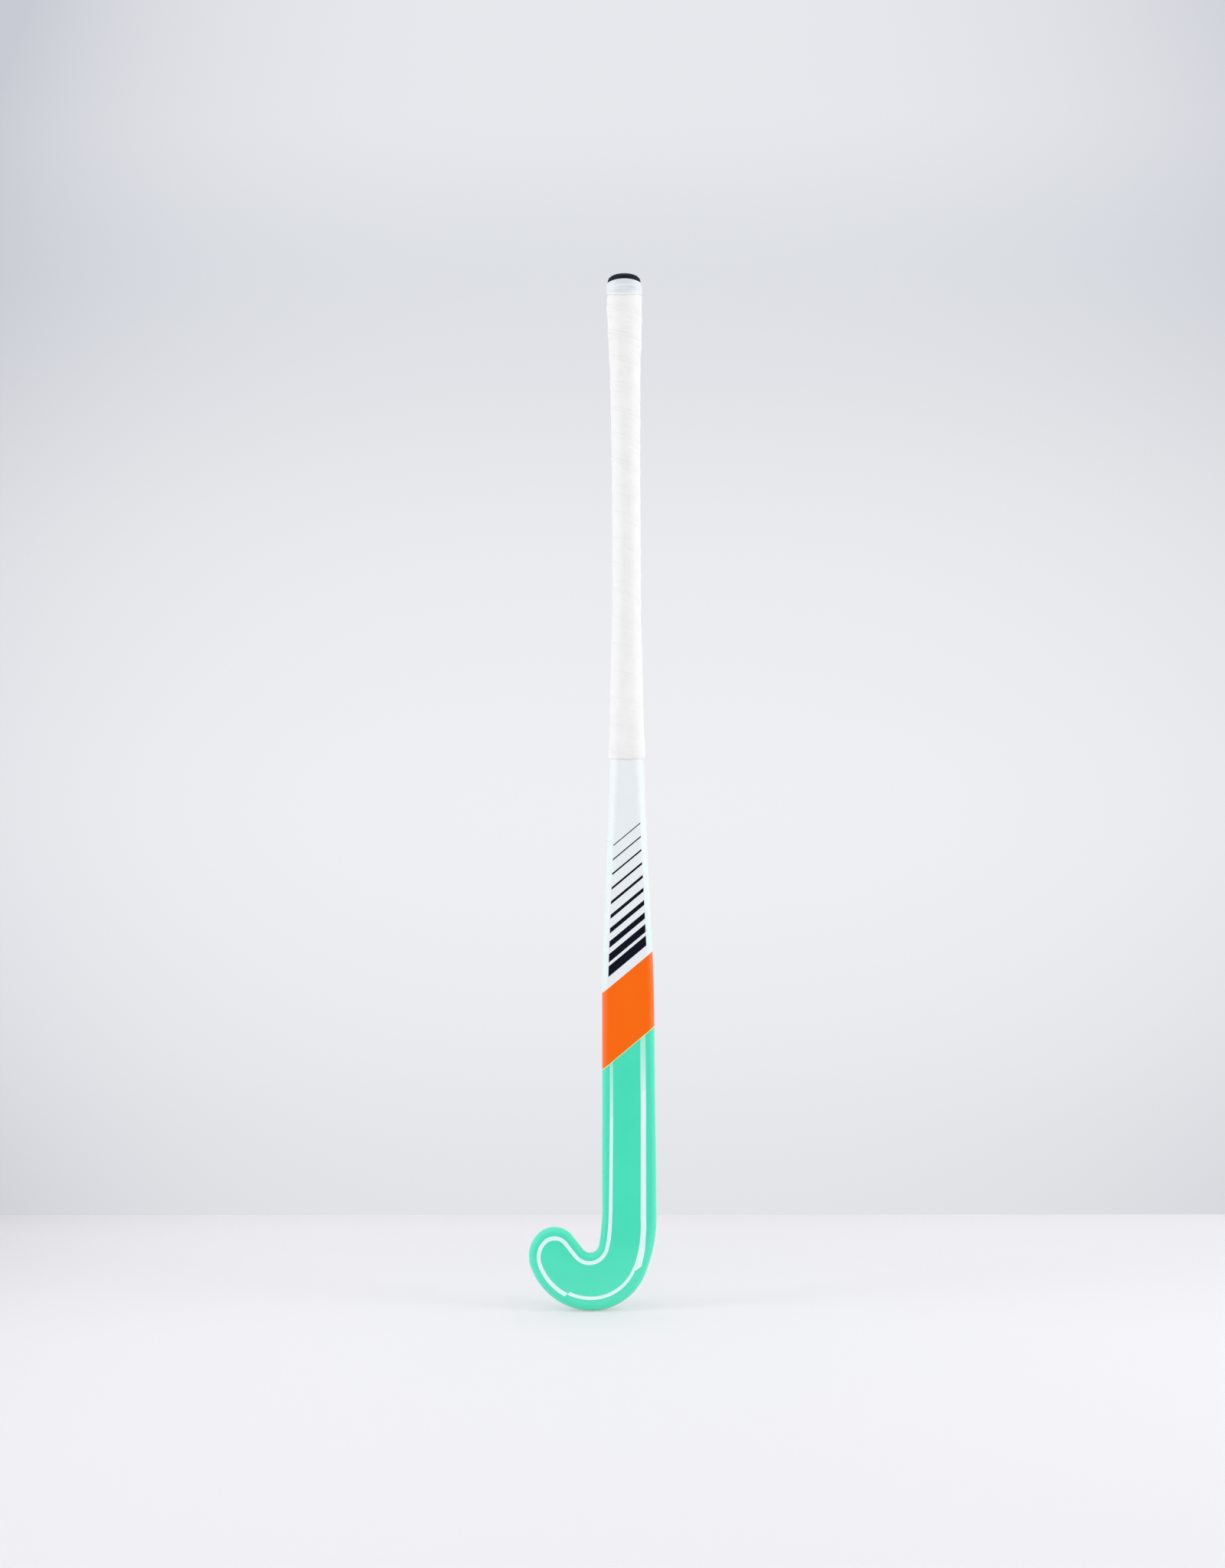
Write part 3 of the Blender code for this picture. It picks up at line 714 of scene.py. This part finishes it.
def chamois():
    """Soft white chamois: fine nap, soft folds and a pressed line by its edge, with painted shade
    in the folds, in the pressed line and under the edge's lip.
    """
    s = Shader("white_chamois", (0.86, 0.86, 0.86), 0.92)
    along, across = s.map_place("tape_place")
    _, _, z = s.place()
    nap = s.noise(2600.0, 3.0, 0.6)
    patch = s.noise(60.0, 3.0, 0.5)
    ripple = s.noise(1.0, 1.0, 0.4, s.vector(s.times(along, 75.0), s.times(across, 310.0)))
    wander = s.noise(1.0, 1.0, 0.5, s.vector(s.times(along, 70.0), s.times(across, 90.0)))
    near_butt = s.between(s.add(z, -SHIFT.z), CREASE_SHADE_FROM, WRINKLE_FULL, 0.3, 1.0)

    # Painted shade: fold valleys, the pressed line and the lip of the upper edge darken the
    # colour, more towards the butt; the line and lip are also in the bump
    folds = s.times(s.between(ripple, 0.3, 0.48, 1.0, 0.0), s.between(wander, 0.4, 0.6, 0.0, 1.0))
    off_line = s.maths("ABSOLUTE", s.add(across, -PRESSED_LINE))
    pressed = s.between(off_line, *PRESSED_FADE, 1.0, 0.0)
    lines = s.maths("MAXIMUM", pressed, s.between(across, *LIP_GROOVE_AND_SHADE, 0.0, 1.0))
    lines = s.times(lines, s.between(wander, 0.4, 0.55, 0.4, 1.0))
    painted_crease_shade = s.times(s.maths("MAXIMUM", s.times(folds, 0.6), lines), near_butt)

    white = s.mix(s.between(patch, 0.3, 0.7, 0.0, 1.0), (0.85, 0.85, 0.848), (0.882, 0.882, 0.878))
    white = s.mix(s.between(nap, 0.35, 0.5, 0.2, 0.0), white, (0.74, 0.74, 0.735))
    # Painted shade of the creases, the pressed line and the lip
    white = s.mix(s.times(painted_crease_shade, 0.35), white, (0.68, 0.68, 0.675))
    s.set("Base Color", white)
    s.set("Roughness", s.between(nap, 0.3, 0.7, 0.86, 0.97))
    s.set("Specular IOR Level", 0.25)
    s.set("Sheen Weight", 0.25)
    s.set("Sheen Roughness", 0.6)
    relief = s.add(s.times(ripple, 1.4), s.times(lines, -0.4))
    s.bump(s.add(s.times(nap, 0.35), relief), 0.5, 0.3 * MM)
    return s.material


def black_rubber():
    """Satin black rubber with a fine grain."""
    s = Shader("black_rubber", (0.01, 0.012, 0.02), 0.6)
    grain = s.noise(1500.0, 3.0, 0.6)
    cloud = s.noise(90.0, 2.0)
    s.set("Base Color", s.mix(cloud, (0.005, 0.008, 0.0165), (0.012, 0.017, 0.031)))
    s.set("Roughness", s.between(grain, 0.3, 0.7, 0.55, 0.7))
    s.set("Specular IOR Level", 0.15)
    s.bump(grain, 0.18, 0.15 * MM)
    return s.material


def clear_film():
    """Milky shrink film, palest by its lower edge, with a painted sheen at its sides and a painted
    highlight where it bends.
    """
    s = Shader("clear_film", (0.74, 0.79, 0.83), 0.3)
    above_edge, _ = s.map_place("film_place")
    _, _, z = s.place()
    z = s.add(z, -SHIFT.z)
    drawn = s.noise(1.0, 3.0, 0.55, s.stretched((70.0, 70.0, 420.0)))
    crinkle = s.between(drawn, 0.35, 0.65, 0.0, 1.0)
    film = s.mix(crinkle, (0.69, 0.76, 0.81), (0.80, 0.845, 0.875))
    low = s.between(above_edge, *FILM_PALE, 1.0, 0.0)
    film = s.mix(low, film, (0.95, 0.955, 0.96))
    film = s.mix(s.between(z, *FILM_OVER_CAP, 0.0, 0.85), film, (0.76, 0.78, 0.83))
    # Painted highlight along the bend over the cap's edge
    off_bend = s.maths("ABSOLUTE", s.add(z, -FILM_BEND))
    bend = s.between(off_bend, *FILM_BEND_HIGHLIGHT_REACH, 0.55, 0.0)
    film = s.mix(bend, film, (0.88, 0.93, 0.95))
    # Painted sheen: paler where the film is seen edge-on
    turned = s.new("LayerWeight", Blend=0.5).outputs["Facing"]
    sides = s.between(turned, 0.15, 0.6, 0.0, 0.75)
    s.set("Base Color", s.mix(sides, film, (0.86, 0.885, 0.91)))
    s.set("Alpha", s.between(above_edge, *FILM_FADE, 0.0, 0.96))
    s.set("Roughness", s.between(drawn, 0.3, 0.7, 0.25, 0.35))
    s.set("Specular IOR Level", 0.3)
    s.set("Coat Weight", 0.4)
    s.set("Coat Roughness", 0.15)
    s.bump(drawn, 0.25, 0.3 * MM)
    return s.material


def cushion_foam():
    """Dark closed-cell cushion."""
    s = Shader("cushion_foam", (0.2, 0.2, 0.21), 0.95)
    cell = s.noise(900.0, 4.0, 0.65)
    s.set("Base Color", s.mix(cell, (0.14, 0.14, 0.15), (0.26, 0.26, 0.27)))
    s.bump(cell, 0.5, 0.3 * MM)
    return s.material


def woven_carbon():
    """Twill of dark fibre in resin for the inner tubes."""
    s = Shader("fibre_laminate", (0.03, 0.03, 0.035), 0.4)
    x, y, z = s.place()
    pitch = 2.2 * MM
    warp = s.maths("FRACT", s.maths("DIVIDE", s.add(z, x), pitch))
    weft = s.maths("FRACT", s.maths("DIVIDE", s.maths("SUBTRACT", z, x), pitch))
    twill = s.over(warp, weft)
    depth = s.maths("PINGPONG", s.maths("DIVIDE", s.add(z, y), pitch), 0.5)
    s.set("Base Color", s.mix(twill, (0.018, 0.018, 0.021), (0.05, 0.05, 0.056)))
    s.set("Roughness", s.between(depth, 0.0, 0.5, 0.32, 0.5))
    s.set("Coat Weight", 0.4)
    s.bump(s.add(twill, depth), 0.2, 0.15 * MM)
    return s.material


def cast_foam(name, dark, light, cells):
    """Rigid foam with this many cells to the metre."""
    s = Shader(name, light, 0.85)
    distance = s.new("TexVoronoi", Vector=s.stretched(), Scale=cells).outputs["Distance"]
    s.set("Base Color", s.mix(s.between(distance, 0.0, 0.6, 0.0, 1.0), dark, light))
    s.set("Roughness", s.between(distance, 0.0, 0.6, 0.95, 0.78))
    s.bump(distance, 0.4, 0.3 * MM)
    return s.material


def matted_fibre():
    """Tough matted fibre soaked with resin."""
    s = Shader("guard_fibre", (0.45, 0.34, 0.06), 0.55)
    strand = s.noise(1.0, 5.0, 0.7, s.stretched((160.0, 700.0, 160.0)))
    s.set("Base Color", s.mix(strand, (0.32, 0.23, 0.035), (0.56, 0.44, 0.1)))
    s.set("Roughness", s.between(strand, 0.3, 0.7, 0.45, 0.65))
    s.bump(strand, 0.35, 0.25 * MM)
    return s.material


def elastomer():
    """Soft matt elastomer of the damping strip."""
    s = Shader("damping_elastomer", (0.05, 0.22, 0.2), 0.7)
    grain = s.noise(700.0, 3.0)
    s.set("Base Color", s.mix(grain, (0.04, 0.18, 0.165), (0.065, 0.26, 0.235)))
    s.set("Roughness", s.between(grain, 0.3, 0.7, 0.62, 0.78))
    s.bump(grain, 0.25, 0.2 * MM)
    return s.material


# Moulding

Station = namedtuple("Station", "x z inward_x inward_z half_width height along")


def quarter(flat, reach, rise, steps):
    """Quarter ellipse from the rim in, as distances from the middle and from the rim."""
    angles = (math.pi / 2 * i / steps for i in range(steps + 1))
    return [(flat + reach * math.cos(a), rise * math.sin(a)) for a in angles]


def edge(height, inset):
    """One side of the section, face to rim to back, as x and depth behind the face."""
    s = section(height)
    side = s.half_width - inset
    front = quarter(s.face_flat, side - s.face_flat, s.rim - inset, FACE_STEPS)
    back = quarter(s.back_flat, side - s.back_flat, s.depth - s.rim - inset, BACK_STEPS)
    flat = [(s.face_flat * share, inset) for share in FACE_ROWS]
    rounding = [(x, s.rim - y) for x, y in reversed(front)]
    return flat + rounding + [(x, s.rim + y) for x, y in back[1:]]


def after_turn(x, z, heading, radius, turn):
    """Place and heading after this turn to the right, or this length where it is straight."""
    if radius == math.inf:
        return x + turn * math.cos(heading), z + turn * math.sin(heading), heading
    side = math.copysign(radius, turn)
    now = heading - turn
    x += side * (math.sin(heading) - math.sin(now))
    z += side * (math.cos(now) - math.cos(heading))
    return x, z, now


def head_path():
    """Head outline as pieces: start x, start z, heading, radius, turn to the right.

    The straight neck has an endless radius, and its length in the turn's place.
    """
    turns = [(radius * MM, math.radians(turn)) for radius, turn in HEAD_ARCS]
    turns.append((math.inf, NECK_LENGTH))
    turns.append((CROOK_RADIUS, -math.radians(CROOK_TURN)))
    place = (HEAD_HALF_WIDTH, HEEL_SIDE_START, -math.pi / 2)
    pieces = []
    for radius, turn in turns:
        pieces.append((*place, radius, turn))
        place = after_turn(*place, radius, turn)
    x, _, heading = place
    root_radius = (-HEAD_HALF_WIDTH - x) / (1 - math.sin(heading))
    root_turn = (heading - math.pi / 2) % (2 * math.pi) - 2 * math.pi
    return pieces + [(*place, root_radius, root_turn)]


def head_stations():
    """Stations round the head, with their lengths along the rim."""
    stations = []
    length = 0.0
    for *place, radius, turn in head_path():
        straight = radius == math.inf
        run = turn if straight else abs(radius * turn)
        by_angle = 0 if straight else abs(math.degrees(turn)) / ARC_STEP_DEGREES
        count = math.ceil(max(by_angle, run / ARC_STEP_LENGTH))
        shares = {i / count for i in range(1 if stations else 0, count + 1)}
        shares |= {(corner * MM - length) / run for corner in LINE_CORNERS}
        for share in sorted(share for share in shares if 0 <= share <= 1):
            x, z, heading = after_turn(*place, radius, share * turn)
            inward = (math.sin(heading), -math.cos(heading))
            along = length + share * run
            stations.append(Station(x, z, *inward, HEAD_HALF_WIDTH, HEAD_TOP, along))
        length += run
    return stations


def shaft_station(height, side, along):
    """Station up the shaft's side, 1 for the heel's and -1 for the toe's."""
    half_width = section(height).half_width
    return Station(side * half_width, height, -side, 0.0, half_width, height, along)


def column(station, inset):
    """The section's edge at one station, as points with their places in the print's maps.

    These are the length along the rim, the share across the white line, and the distance
    in from the rim, which is below zero on the back.
    """
    outer, inner = line_edges(station.along)
    points = []
    profile = edge(station.height, inset)
    rim_row = len(FACE_ROWS) + FACE_STEPS
    for row, (x, depth) in enumerate(profile):
        inward = station.half_width - x
        z = station.z + inward * station.inward_z
        x_place = station.x + inward * station.inward_x + aside(z)
        place = Vector((x_place, face_line(z) + depth, z))
        rim = inward if row <= rim_row else -inward
        line = (rim - outer) / (inner - outer)
        points.append((SHIFT + place, (station.along, line, rim)))
    return points


def add_skin(bm, inset, places):
    """Surface of the whole stick at this inset, open at the top. Returns its top ring."""
    count = math.ceil((SHAFT_TOP - HEAD_TOP) / SHAFT_STEP)
    heights = [HEAD_TOP + (SHAFT_TOP - HEAD_TOP) * i / count for i in range(count + 1)]
    stations = head_stations()
    end = stations[-1]
    heel_side = [shaft_station(h, 1, HEEL_SIDE_START - h) for h in reversed(heights)]
    toe_side = [shaft_station(h, -1, end.along + h - end.z) for h in heights]
    rows = []
    for station in heel_side + stations + toe_side:
        row = []
        for point, where in column(station, inset):
            vert = bm.verts.new(point)
            places[vert] = where if inset == 0.0 else (where[0], *UNPRINTED)
            row.append(vert)
        rows.append(row)
    for first, second in zip(rows, rows[1:]):
        add_strip(bm, first, second)

    # Face and back close over the middle: step by step up the shaft, at once on the head
    rise = len(heights)
    for i in range(rise - 1):
        for side in (0, -1):
            ladder = (rows[i], rows[i + 1], rows[-2 - i], rows[-1 - i])
            bm.faces.new([row[side] for row in ladder])
    for side in (0, -1):
        bm.faces.new([row[side] for row in rows[rise - 1 : len(rows) - rise + 1]])
    return rows[0] + rows[-1][::-1]


def moulding():
    """Hollow printed moulding, open at the butt."""
    bm = bmesh.new()
    places = {}
    outside = add_skin(bm, 0.0, places)
    inside = add_skin(bm, SHELL_WALL, places)
    add_strip(bm, outside, inside, closed=True)
    add_map(bm, "print_line", lambda vert: places[vert][:2])
    add_map(bm, "print_rim", lambda vert: (places[vert][2], 0.0))
    return finish_mesh("stick_moulding", bm, printed_lacquer(), sharp=50)


# Grip


def underlay_outside(height):
    """Distance of the sleeve's outer face out of the bare moulding."""
    return FIT_GAP + follow(UNDERLAY_THICKNESS, height)


def cushion_underlay():
    """Thin cushioned sleeve under the tape, thicker towards the butt."""
    count = UNDERLAY_RINGS - 1
    outer = []
    inner = []
    for i in range(UNDERLAY_RINGS):
        height = UNDERLAY_BOTTOM + (TAPE_TOP - UNDERLAY_BOTTOM) * i / count
        outer.append(ring(height, underlay_outside(height), steps=UNDERLAY_RING_STEPS))
        inner.append(ring(height, FIT_GAP, steps=UNDERLAY_RING_STEPS))
    bm = bmesh.new()
    add_tube(bm, outer, inner)
    return finish_mesh("cushion_underlay", bm, cushion_foam())


def tape_seat(turn, height):
    """Distance out that the tape lies at: on the moulding, the lump, then the underlay."""
    off_lump = (height - LUMP_HEIGHT) / LUMP_REACH
    lump = LUMP * math.exp(-off_lump * off_lump) * max(math.cos(2 * math.pi * turn), 0.0) ** 2
    ramp = eased(share_up(height, *UNDERLAY_RAMP))
    return TAPE_SEAT + lump + ramp * underlay_outside(height)


def tape_lower(turn):
    """Lower edge of the whole tape, before it is cut level at both ends of the grip."""
    from_end = TAPE_TURNS - turn
    climb = from_end * (TAPE_PITCH - TAPE_TIGHTENING * from_end)
    return TAPE_BOTTOM - TAPE_WIDTH + climb


def turns_up(climb):
    """Turns from the tape's end in which it climbs this far."""
    root = math.sqrt(TAPE_PITCH**2 - 4 * TAPE_TIGHTENING * climb)
    return (TAPE_PITCH - root) / (2 * TAPE_TIGHTENING)


# Turns at which the tape's cut ends have their least width, in whole steps
FIRST_CLIMB = TAPE_TOP - TAPE_END_WIDTH - TAPE_BOTTOM + TAPE_WIDTH
TAPE_START = math.ceil((TAPE_TURNS - turns_up(FIRST_CLIMB)) * TAPE_STEPS) / TAPE_STEPS
TAPE_END = math.floor((TAPE_TURNS - turns_up(TAPE_END_WIDTH)) * TAPE_STEPS) / TAPE_STEPS


def skived(depth):
    """Thickness of the tape at this distance in from its thinned edge."""
    share = share_up(depth, 0.0, TAPE_OVERLAP)
    return TAPE_SKIVED + share * (TAPE_THICKNESS - TAPE_SKIVED)


def wrinkle(point, height):
    """How far the tape stands proud between its creases, more near the butt."""
    x, y, z = (point - SHIFT) / MM

    def waves(around_stick, up_stick, x_shift=0.0, y_shift=0.0):
        """Smooth noise with this many waves to the millimetre."""
        place = (x * around_stick + x_shift, y * around_stick + y_shift, z * up_stick)
        return noise.noise(Vector(place))

    proud = 0.5 - 1.6 * abs(waves(0.16, 0.42)) + 0.6 * waves(0.42, 1.0, x_shift=40.0)
    swell = waves(0.06, 0.06, y_shift=90.0)
    near_butt = share_up(height, WRINKLE_FROM, WRINKLE_FULL)
    return WRINKLE * ((0.5 + 0.7 * near_butt) * proud + 0.8 * swell)


def off_seat(turn, height):
    """How far the last turn's thinned lower edge holds this one off its seat."""
    if turn - 1 < TAPE_START:
        return 0.0
    above = height - tape_lower(turn - 1)
    if above >= 0:
        return skived(above) + TAPE_LAYER_GAP
    return eased(share_up(above, -TAPE_CLIMB, 0.0)) * (TAPE_SKIVED + TAPE_LAYER_GAP)


def tape_thickness(turn, height):
    """Thickness, skived at the tape's edges and rounded off at the grip's lower end."""
    whole = tape_lower(turn)
    from_bottom = share_up(height - TAPE_BOTTOM, 0.0, TAPE_END_ROUND)
    rounding = TAPE_END_SHARE + (1 - TAPE_END_SHARE) * from_bottom * (2 - from_bottom)
    return rounding * min(skived(height - whole), skived(whole + TAPE_WIDTH - height))


def tape_section(turn):
    """Closed section of the tape, wrinkled where the next turn leaves it free."""
    whole = tape_lower(turn)
    lower = max(whole, TAPE_BOTTOM)
    upper = min(whole + TAPE_WIDTH, TAPE_TOP)
    next_upper = whole + TAPE_OVERLAP if turn + 1 <= TAPE_END else lower
    share = (upper - lower) / TAPE_WIDTH
    inner = []
    for mark in TAPE_INNER_MARKS:
        h = lower + share * mark * MM
        inner.append(around(h, turn, tape_seat(turn, h) + off_seat(turn, h)))
    outer = []
    for mark in TAPE_OUTER_MARKS:
        h = lower + share * mark * MM
        rounding = TAPE_EDGE_SHARE if mark in (0.0, TAPE_OUTER_MARKS[-1]) else 1.0
        out = tape_seat(turn, h) + off_seat(turn, h) + tape_thickness(turn, h) * rounding
        above_next = share_up(h - next_upper, 0.0, WRINKLE_FADE_BELOW)
        free = min(above_next, share_up(upper - h, 0.0, WRINKLE_FADE_ABOVE))
        if free:
            out += free * wrinkle(around(h, turn, out), h)
        outer.append(around(h, turn, out))
    return inner + outer[::-1]


def over_first_turns(share, height):
    """Distance out of the tape's first turns, at this share of a turn and this height."""
    first = math.ceil(TAPE_START - share) + share
    faces = [0.0]
    for turn in (first, first + 1):
        if tape_lower(turn) <= height <= tape_lower(turn) + TAPE_WIDTH:
            faces.append(off_seat(turn, height) + tape_thickness(turn, height))
    return tape_seat(first, height) + max(faces)


def grip_winding():
    """One unbroken tape, wound from the butt down, and its length.

    Each turn covers the lower edge of the one before.
    """
    first = round(TAPE_START * TAPE_STEPS)
    last = round(TAPE_END * TAPE_STEPS)
    rings = [tape_section(i / TAPE_STEPS) for i in range(first, last + 1)]
    bm = bmesh.new()
    add_loft(bm, rings)
    across = [mark * MM for mark in (*TAPE_INNER_MARKS, *reversed(TAPE_OUTER_MARKS))]

    def place(vert):
        step, mark = divmod(vert.index, len(across))
        return step / TAPE_STEPS * TAPE_TURN_RUN, across[mark]

    add_map(bm, "tape_place", place)
    line = [points[LENGTH_MARK] for points in rings]
    length = sum((second - first).length for first, second in zip(line, line[1:]))
    return finish_mesh("grip_winding", bm, chamois(), sharp=60), length


# Butt end


def butt_cap():
    """Rubber cap: a stem down the bore, a shoulder over the rim and a low dome."""
    stem = -(SHELL_WALL + FIT_GAP)
    seat = SHAFT_TOP + FIT_GAP
    rings = [
        ring(STEM_BOTTOM, stem),
        ring((STEM_BOTTOM + SHAFT_TOP) / 2, stem),
        ring(SHAFT_TOP, stem, seat),
        ring(SHAFT_TOP, CAP_OUTSIDE - CAP_BEVEL, seat),
        ring(SHAFT_TOP, CAP_OUTSIDE, seat + CAP_BEVEL),
        ring(SHAFT_TOP, CAP_OUTSIDE, CAP_EDGE),
    ]
    reach = section(SHAFT_TOP).half_width + CAP_OUTSIDE
    power = CAP_DOME_POWER
    top = (1 - CAP_TOP_SHARE**power) ** (1 / power)
    for i in range(1, CAP_DOME_RINGS + 1):
        share = 1 - (1 - CAP_TOP_SHARE) * (i / CAP_DOME_RINGS) ** CAP_RING_CROWDING
        rise = (1 - share**power) ** (1 / power)
        height = CAP_EDGE + (STICK_TOP - CAP_EDGE) * rise / top
        rings.append(ring(SHAFT_TOP, CAP_OUTSIDE - reach * (1 - share), height))
    bm = bmesh.new()
    add_loft(bm, rings)
    return finish_mesh("rubber_butt_cap", bm, black_rubber())


def collar_seat(share, height):
    """Distance out of the clear band's inner face, over the tape and then the cap."""
    on_tape = over_first_turns(share, min(height, TAPE_TOP)) + COLLAR_SLACK
    on_cap = CAP_OUTSIDE + COLLAR_OVER_CAP
    return on_tape + eased(share_up(height, TAPE_TOP, CAP_EDGE)) * (on_cap - on_tape)


def film_collar():
    """Clear band that binds the top of the tape and the side of the cap."""
    inner = []
    outer = []
    above_edge = []
    for i in range(COLLAR_RINGS):
        inner.append([])
        outer.append([])
        for step in range(RING_STEPS):
            share = step / RING_STEPS
            side = (1 + math.cos(4 * math.pi * share)) / 2
            low = COLLAR_BOTTOM + COLLAR_LIFT * side
            high = COLLAR_TOP - COLLAR_DIP * side
            z = low + (high - low) * i / (COLLAR_RINGS - 1)
            taper = share_up(z - low, 0.0, COLLAR_TAPER)
            rounding = share_up(high - z, 0.0, COLLAR_ROUND)
            thick = COLLAR_THICKNESS * (COLLAR_LOW_SHARE + (1 - COLLAR_LOW_SHARE) * taper)
            thick *= COLLAR_TOP_SHARE + (1 - COLLAR_TOP_SHARE) * rounding
            for extra, rings in ((0.0, inner), (thick, outer)):
                point = around(min(z, SHAFT_TOP), share, collar_seat(share, z) + extra)
                point.z = SHIFT.z + z
                rings[-1].append(point)
            above_edge.append(z - low)
    bm = bmesh.new()
    add_tube(bm, outer, inner)
    count = len(above_edge)
    add_map(bm, "film_place", lambda vert: (above_edge[vert.index % count], 0.0))
    return finish_mesh("film_collar", bm, clear_film())


def stand_for(piece, node):
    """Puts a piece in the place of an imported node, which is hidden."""
    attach(piece, "root")
    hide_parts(node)


stand_for(moulding(), "outer_laminate")
underlay = cushion_underlay()
stand_for(underlay, "grip_underlay")
tape, tape_length = grip_winding()
stand_for(tape, "grip_tape")
stand_for(butt_cap(), "butt_cap")
stand_for(film_collar(), "grip_collar")

# Better materials for the inner pieces, which keep their own shapes
laminate = woven_carbon()
plug_foam = cast_foam("plug_foam", (0.7, 0.67, 0.55), (0.88, 0.85, 0.73), 900.0)
HIDDEN_LOOKS = {
    "toe_side_tube": laminate,
    "heel_side_tube": laminate,
    "toe_side_plug": plug_foam,
    "heel_side_plug": plug_foam,
    "head_core": cast_foam("core_foam", (0.5, 0.37, 0.18), (0.66, 0.51, 0.28), 620.0),
    "heel_guard": matted_fibre(),
    "damping_strip": elastomer(),
}
for node, material in HIDDEN_LOOKS.items():
    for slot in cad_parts[node].material_slots:
        slot.material = material


# Stage: floor, backdrop, lamps, air and camera


def side_shade(s, x, both_sides, more_on_left):
    """Painted shade that grows with the cube of the distance from the stage's middle."""
    share = s.add(both_sides, s.times(s.maths("SIGN", x), -more_on_left))
    return s.times(s.maths("POWER", s.maths("ABSOLUTE", x), 3.0), share)


def backdrop_material():
    """Pale paper, shown at its own level and clear when seen from behind, with painted light and
    shade: tones that change with height, darker to the sides and corners.
    """
    s = Shader("pale_backdrop", (0.8, 0.81, 0.83), 1.0)
    x, _, z = s.place()
    ramp = s.new("ValToRGB", s.between(z, 0.0, BACKDROP_TOP, 0.0, 1.0))
    ramp.color_ramp.interpolation = "CARDINAL"
    stops = ramp.color_ramp.elements
    for height in list(BACKDROP_PAINTED_TONES)[1:-1]:
        stops.new(height / BACKDROP_TOP)
    for stop, tone in zip(stops, BACKDROP_PAINTED_TONES.values()):
        stop.color = (*tone, 1.0)
    # Painted shade towards the sides, growing to the top and bottom corners
    off_middle = s.maths("ABSOLUTE", s.add(z, -BACKDROP_MIDDLE))
    falloff = s.add(1.0, s.times(s.maths("POWER", off_middle, 2.0), BACKDROP_CORNERS))
    shade = s.times(side_shade(s, x, *BACKDROP_SIDES), falloff)
    shade = s.maths("MINIMUM", shade, BACKDROP_DARKEST)
    s.own_level(s.mix(shade, ramp.outputs[0], (0.0, 0.03, 0.12)), 1.0)
    s.clear_from_behind()
    return s.material


def floor_material():
    """Pale board, with painted shade towards its sides and where it meets the backdrop, and
    painted light towards the front.
    """
    s = Shader("pale_floor", (0.847, 0.842, 0.87), 0.7)
    x, y, _ = s.place()
    # Painted shade towards the sides and along the seam with the backdrop, painted light towards
    # the front
    shade = s.maths("MINIMUM", side_shade(s, x, *FLOOR_SIDES), FLOOR_DARKEST)
    shade = s.add(shade, s.between(y, *FLOOR_SEAM, 0.0, FLOOR_SEAM_SHADE))
    near = s.between(y, *FLOOR_NEAR_LIGHT, 0.0, 1.0)
    paint = s.mix(near, (0.85, 0.845, 0.873), (0.876, 0.873, 0.897))
    colour = s.mix(shade, paint, (0.0, 0.0, 0.0))
    s.set("Base Color", colour)
    s.set("Specular IOR Level", 0.1)
    own = s.between(s.maths("ABSOLUTE", x), *FLOOR_OWN_FROM, FLOOR_OWN_SHARE, 1.0)
    s.own_level(colour, own)
    return s.material


def plane(name, corners, material):
    """One flat face of the stage."""
    mesh = bpy.data.meshes.new(name)
    mesh.from_pydata(corners, [], [(0, 1, 2, 3)])
    mesh.materials.append(material)
    add_object(name, mesh)


def wall_end(side, height):
    """Point on the backdrop's left (-1) or right (1) end."""
    return side * STAGE_HALF, FLOOR_BACK - side * WALL_TURN * STAGE_HALF, height


def softbox(name, place):
    """Upright lamp that faces the stick and doesn't show in gloss."""
    lamp = bpy.data.lights.new(name, "AREA")
    lamp.shape = "RECTANGLE"
    lamp.size = LAMP_WIDTH
    lamp.size_y = LAMP_HEIGHT
    lamp.energy = LAMP_POWER
    obj = add_object(name, lamp)
    obj.location = place
    obj.rotation_euler = (LAMP_TARGET - Vector(place)).to_track_quat("-Z", "Y").to_euler()
    obj.visible_glossy = False


def studio_air():
    """Pale air, which in gloss is dark towards the camera and bright to both sides."""
    world = bpy.data.worlds.new("studio_air")
    world.use_nodes = True
    s = Nodes(world.node_tree)
    right, back, _ = s.place("Generated")
    rise = s.add(s.times(right, AIR_RISE_TO_RIGHT), AIR_RISE)
    in_gloss = s.times(s.maths("POWER", s.add(back, 1.0), rise), AIR_IN_GLOSS)
    glossy = s.new("LightPath").outputs["Is Glossy Ray"]
    background = s.nodes["Background"].inputs
    s.plug(AIR_COLOUR, background["Color"])
    s.plug(s.between(glossy, 0.0, 1.0, AIR_LEVEL, in_gloss), background["Strength"])
    bpy.context.scene.world = world


def camera():
    """Level camera in front of the face, a little to the left and slightly rolled."""
    data = bpy.data.cameras.new("camera")
    data.lens = CAMERA_LENS
    obj = add_object("camera", data)
    obj.location = (SHIFT.x - CAMERA_LEFT, STICK_PLANE - CAMERA_DISTANCE, CAMERA_HEIGHT)
    obj.rotation_euler = (math.pi / 2, math.radians(CAMERA_ROLL), 0.0)
    bpy.context.scene.camera = obj


front = [(-STAGE_HALF, FLOOR_FRONT, 0.0), (STAGE_HALF, FLOOR_FRONT, 0.0)]
seam = [wall_end(1, 0.0), wall_end(-1, 0.0)]
wall_top = [wall_end(1, WALL_TOP), wall_end(-1, WALL_TOP)]
plane("studio_floor", front + seam, floor_material())
plane("studio_backdrop", seam[::-1] + wall_top, backdrop_material())
for lamp_name, lamp_place in LAMP_PLACES.items():
    softbox(lamp_name, lamp_place)
studio_air()
camera()
bpy.context.scene.view_settings.view_transform = "Standard"
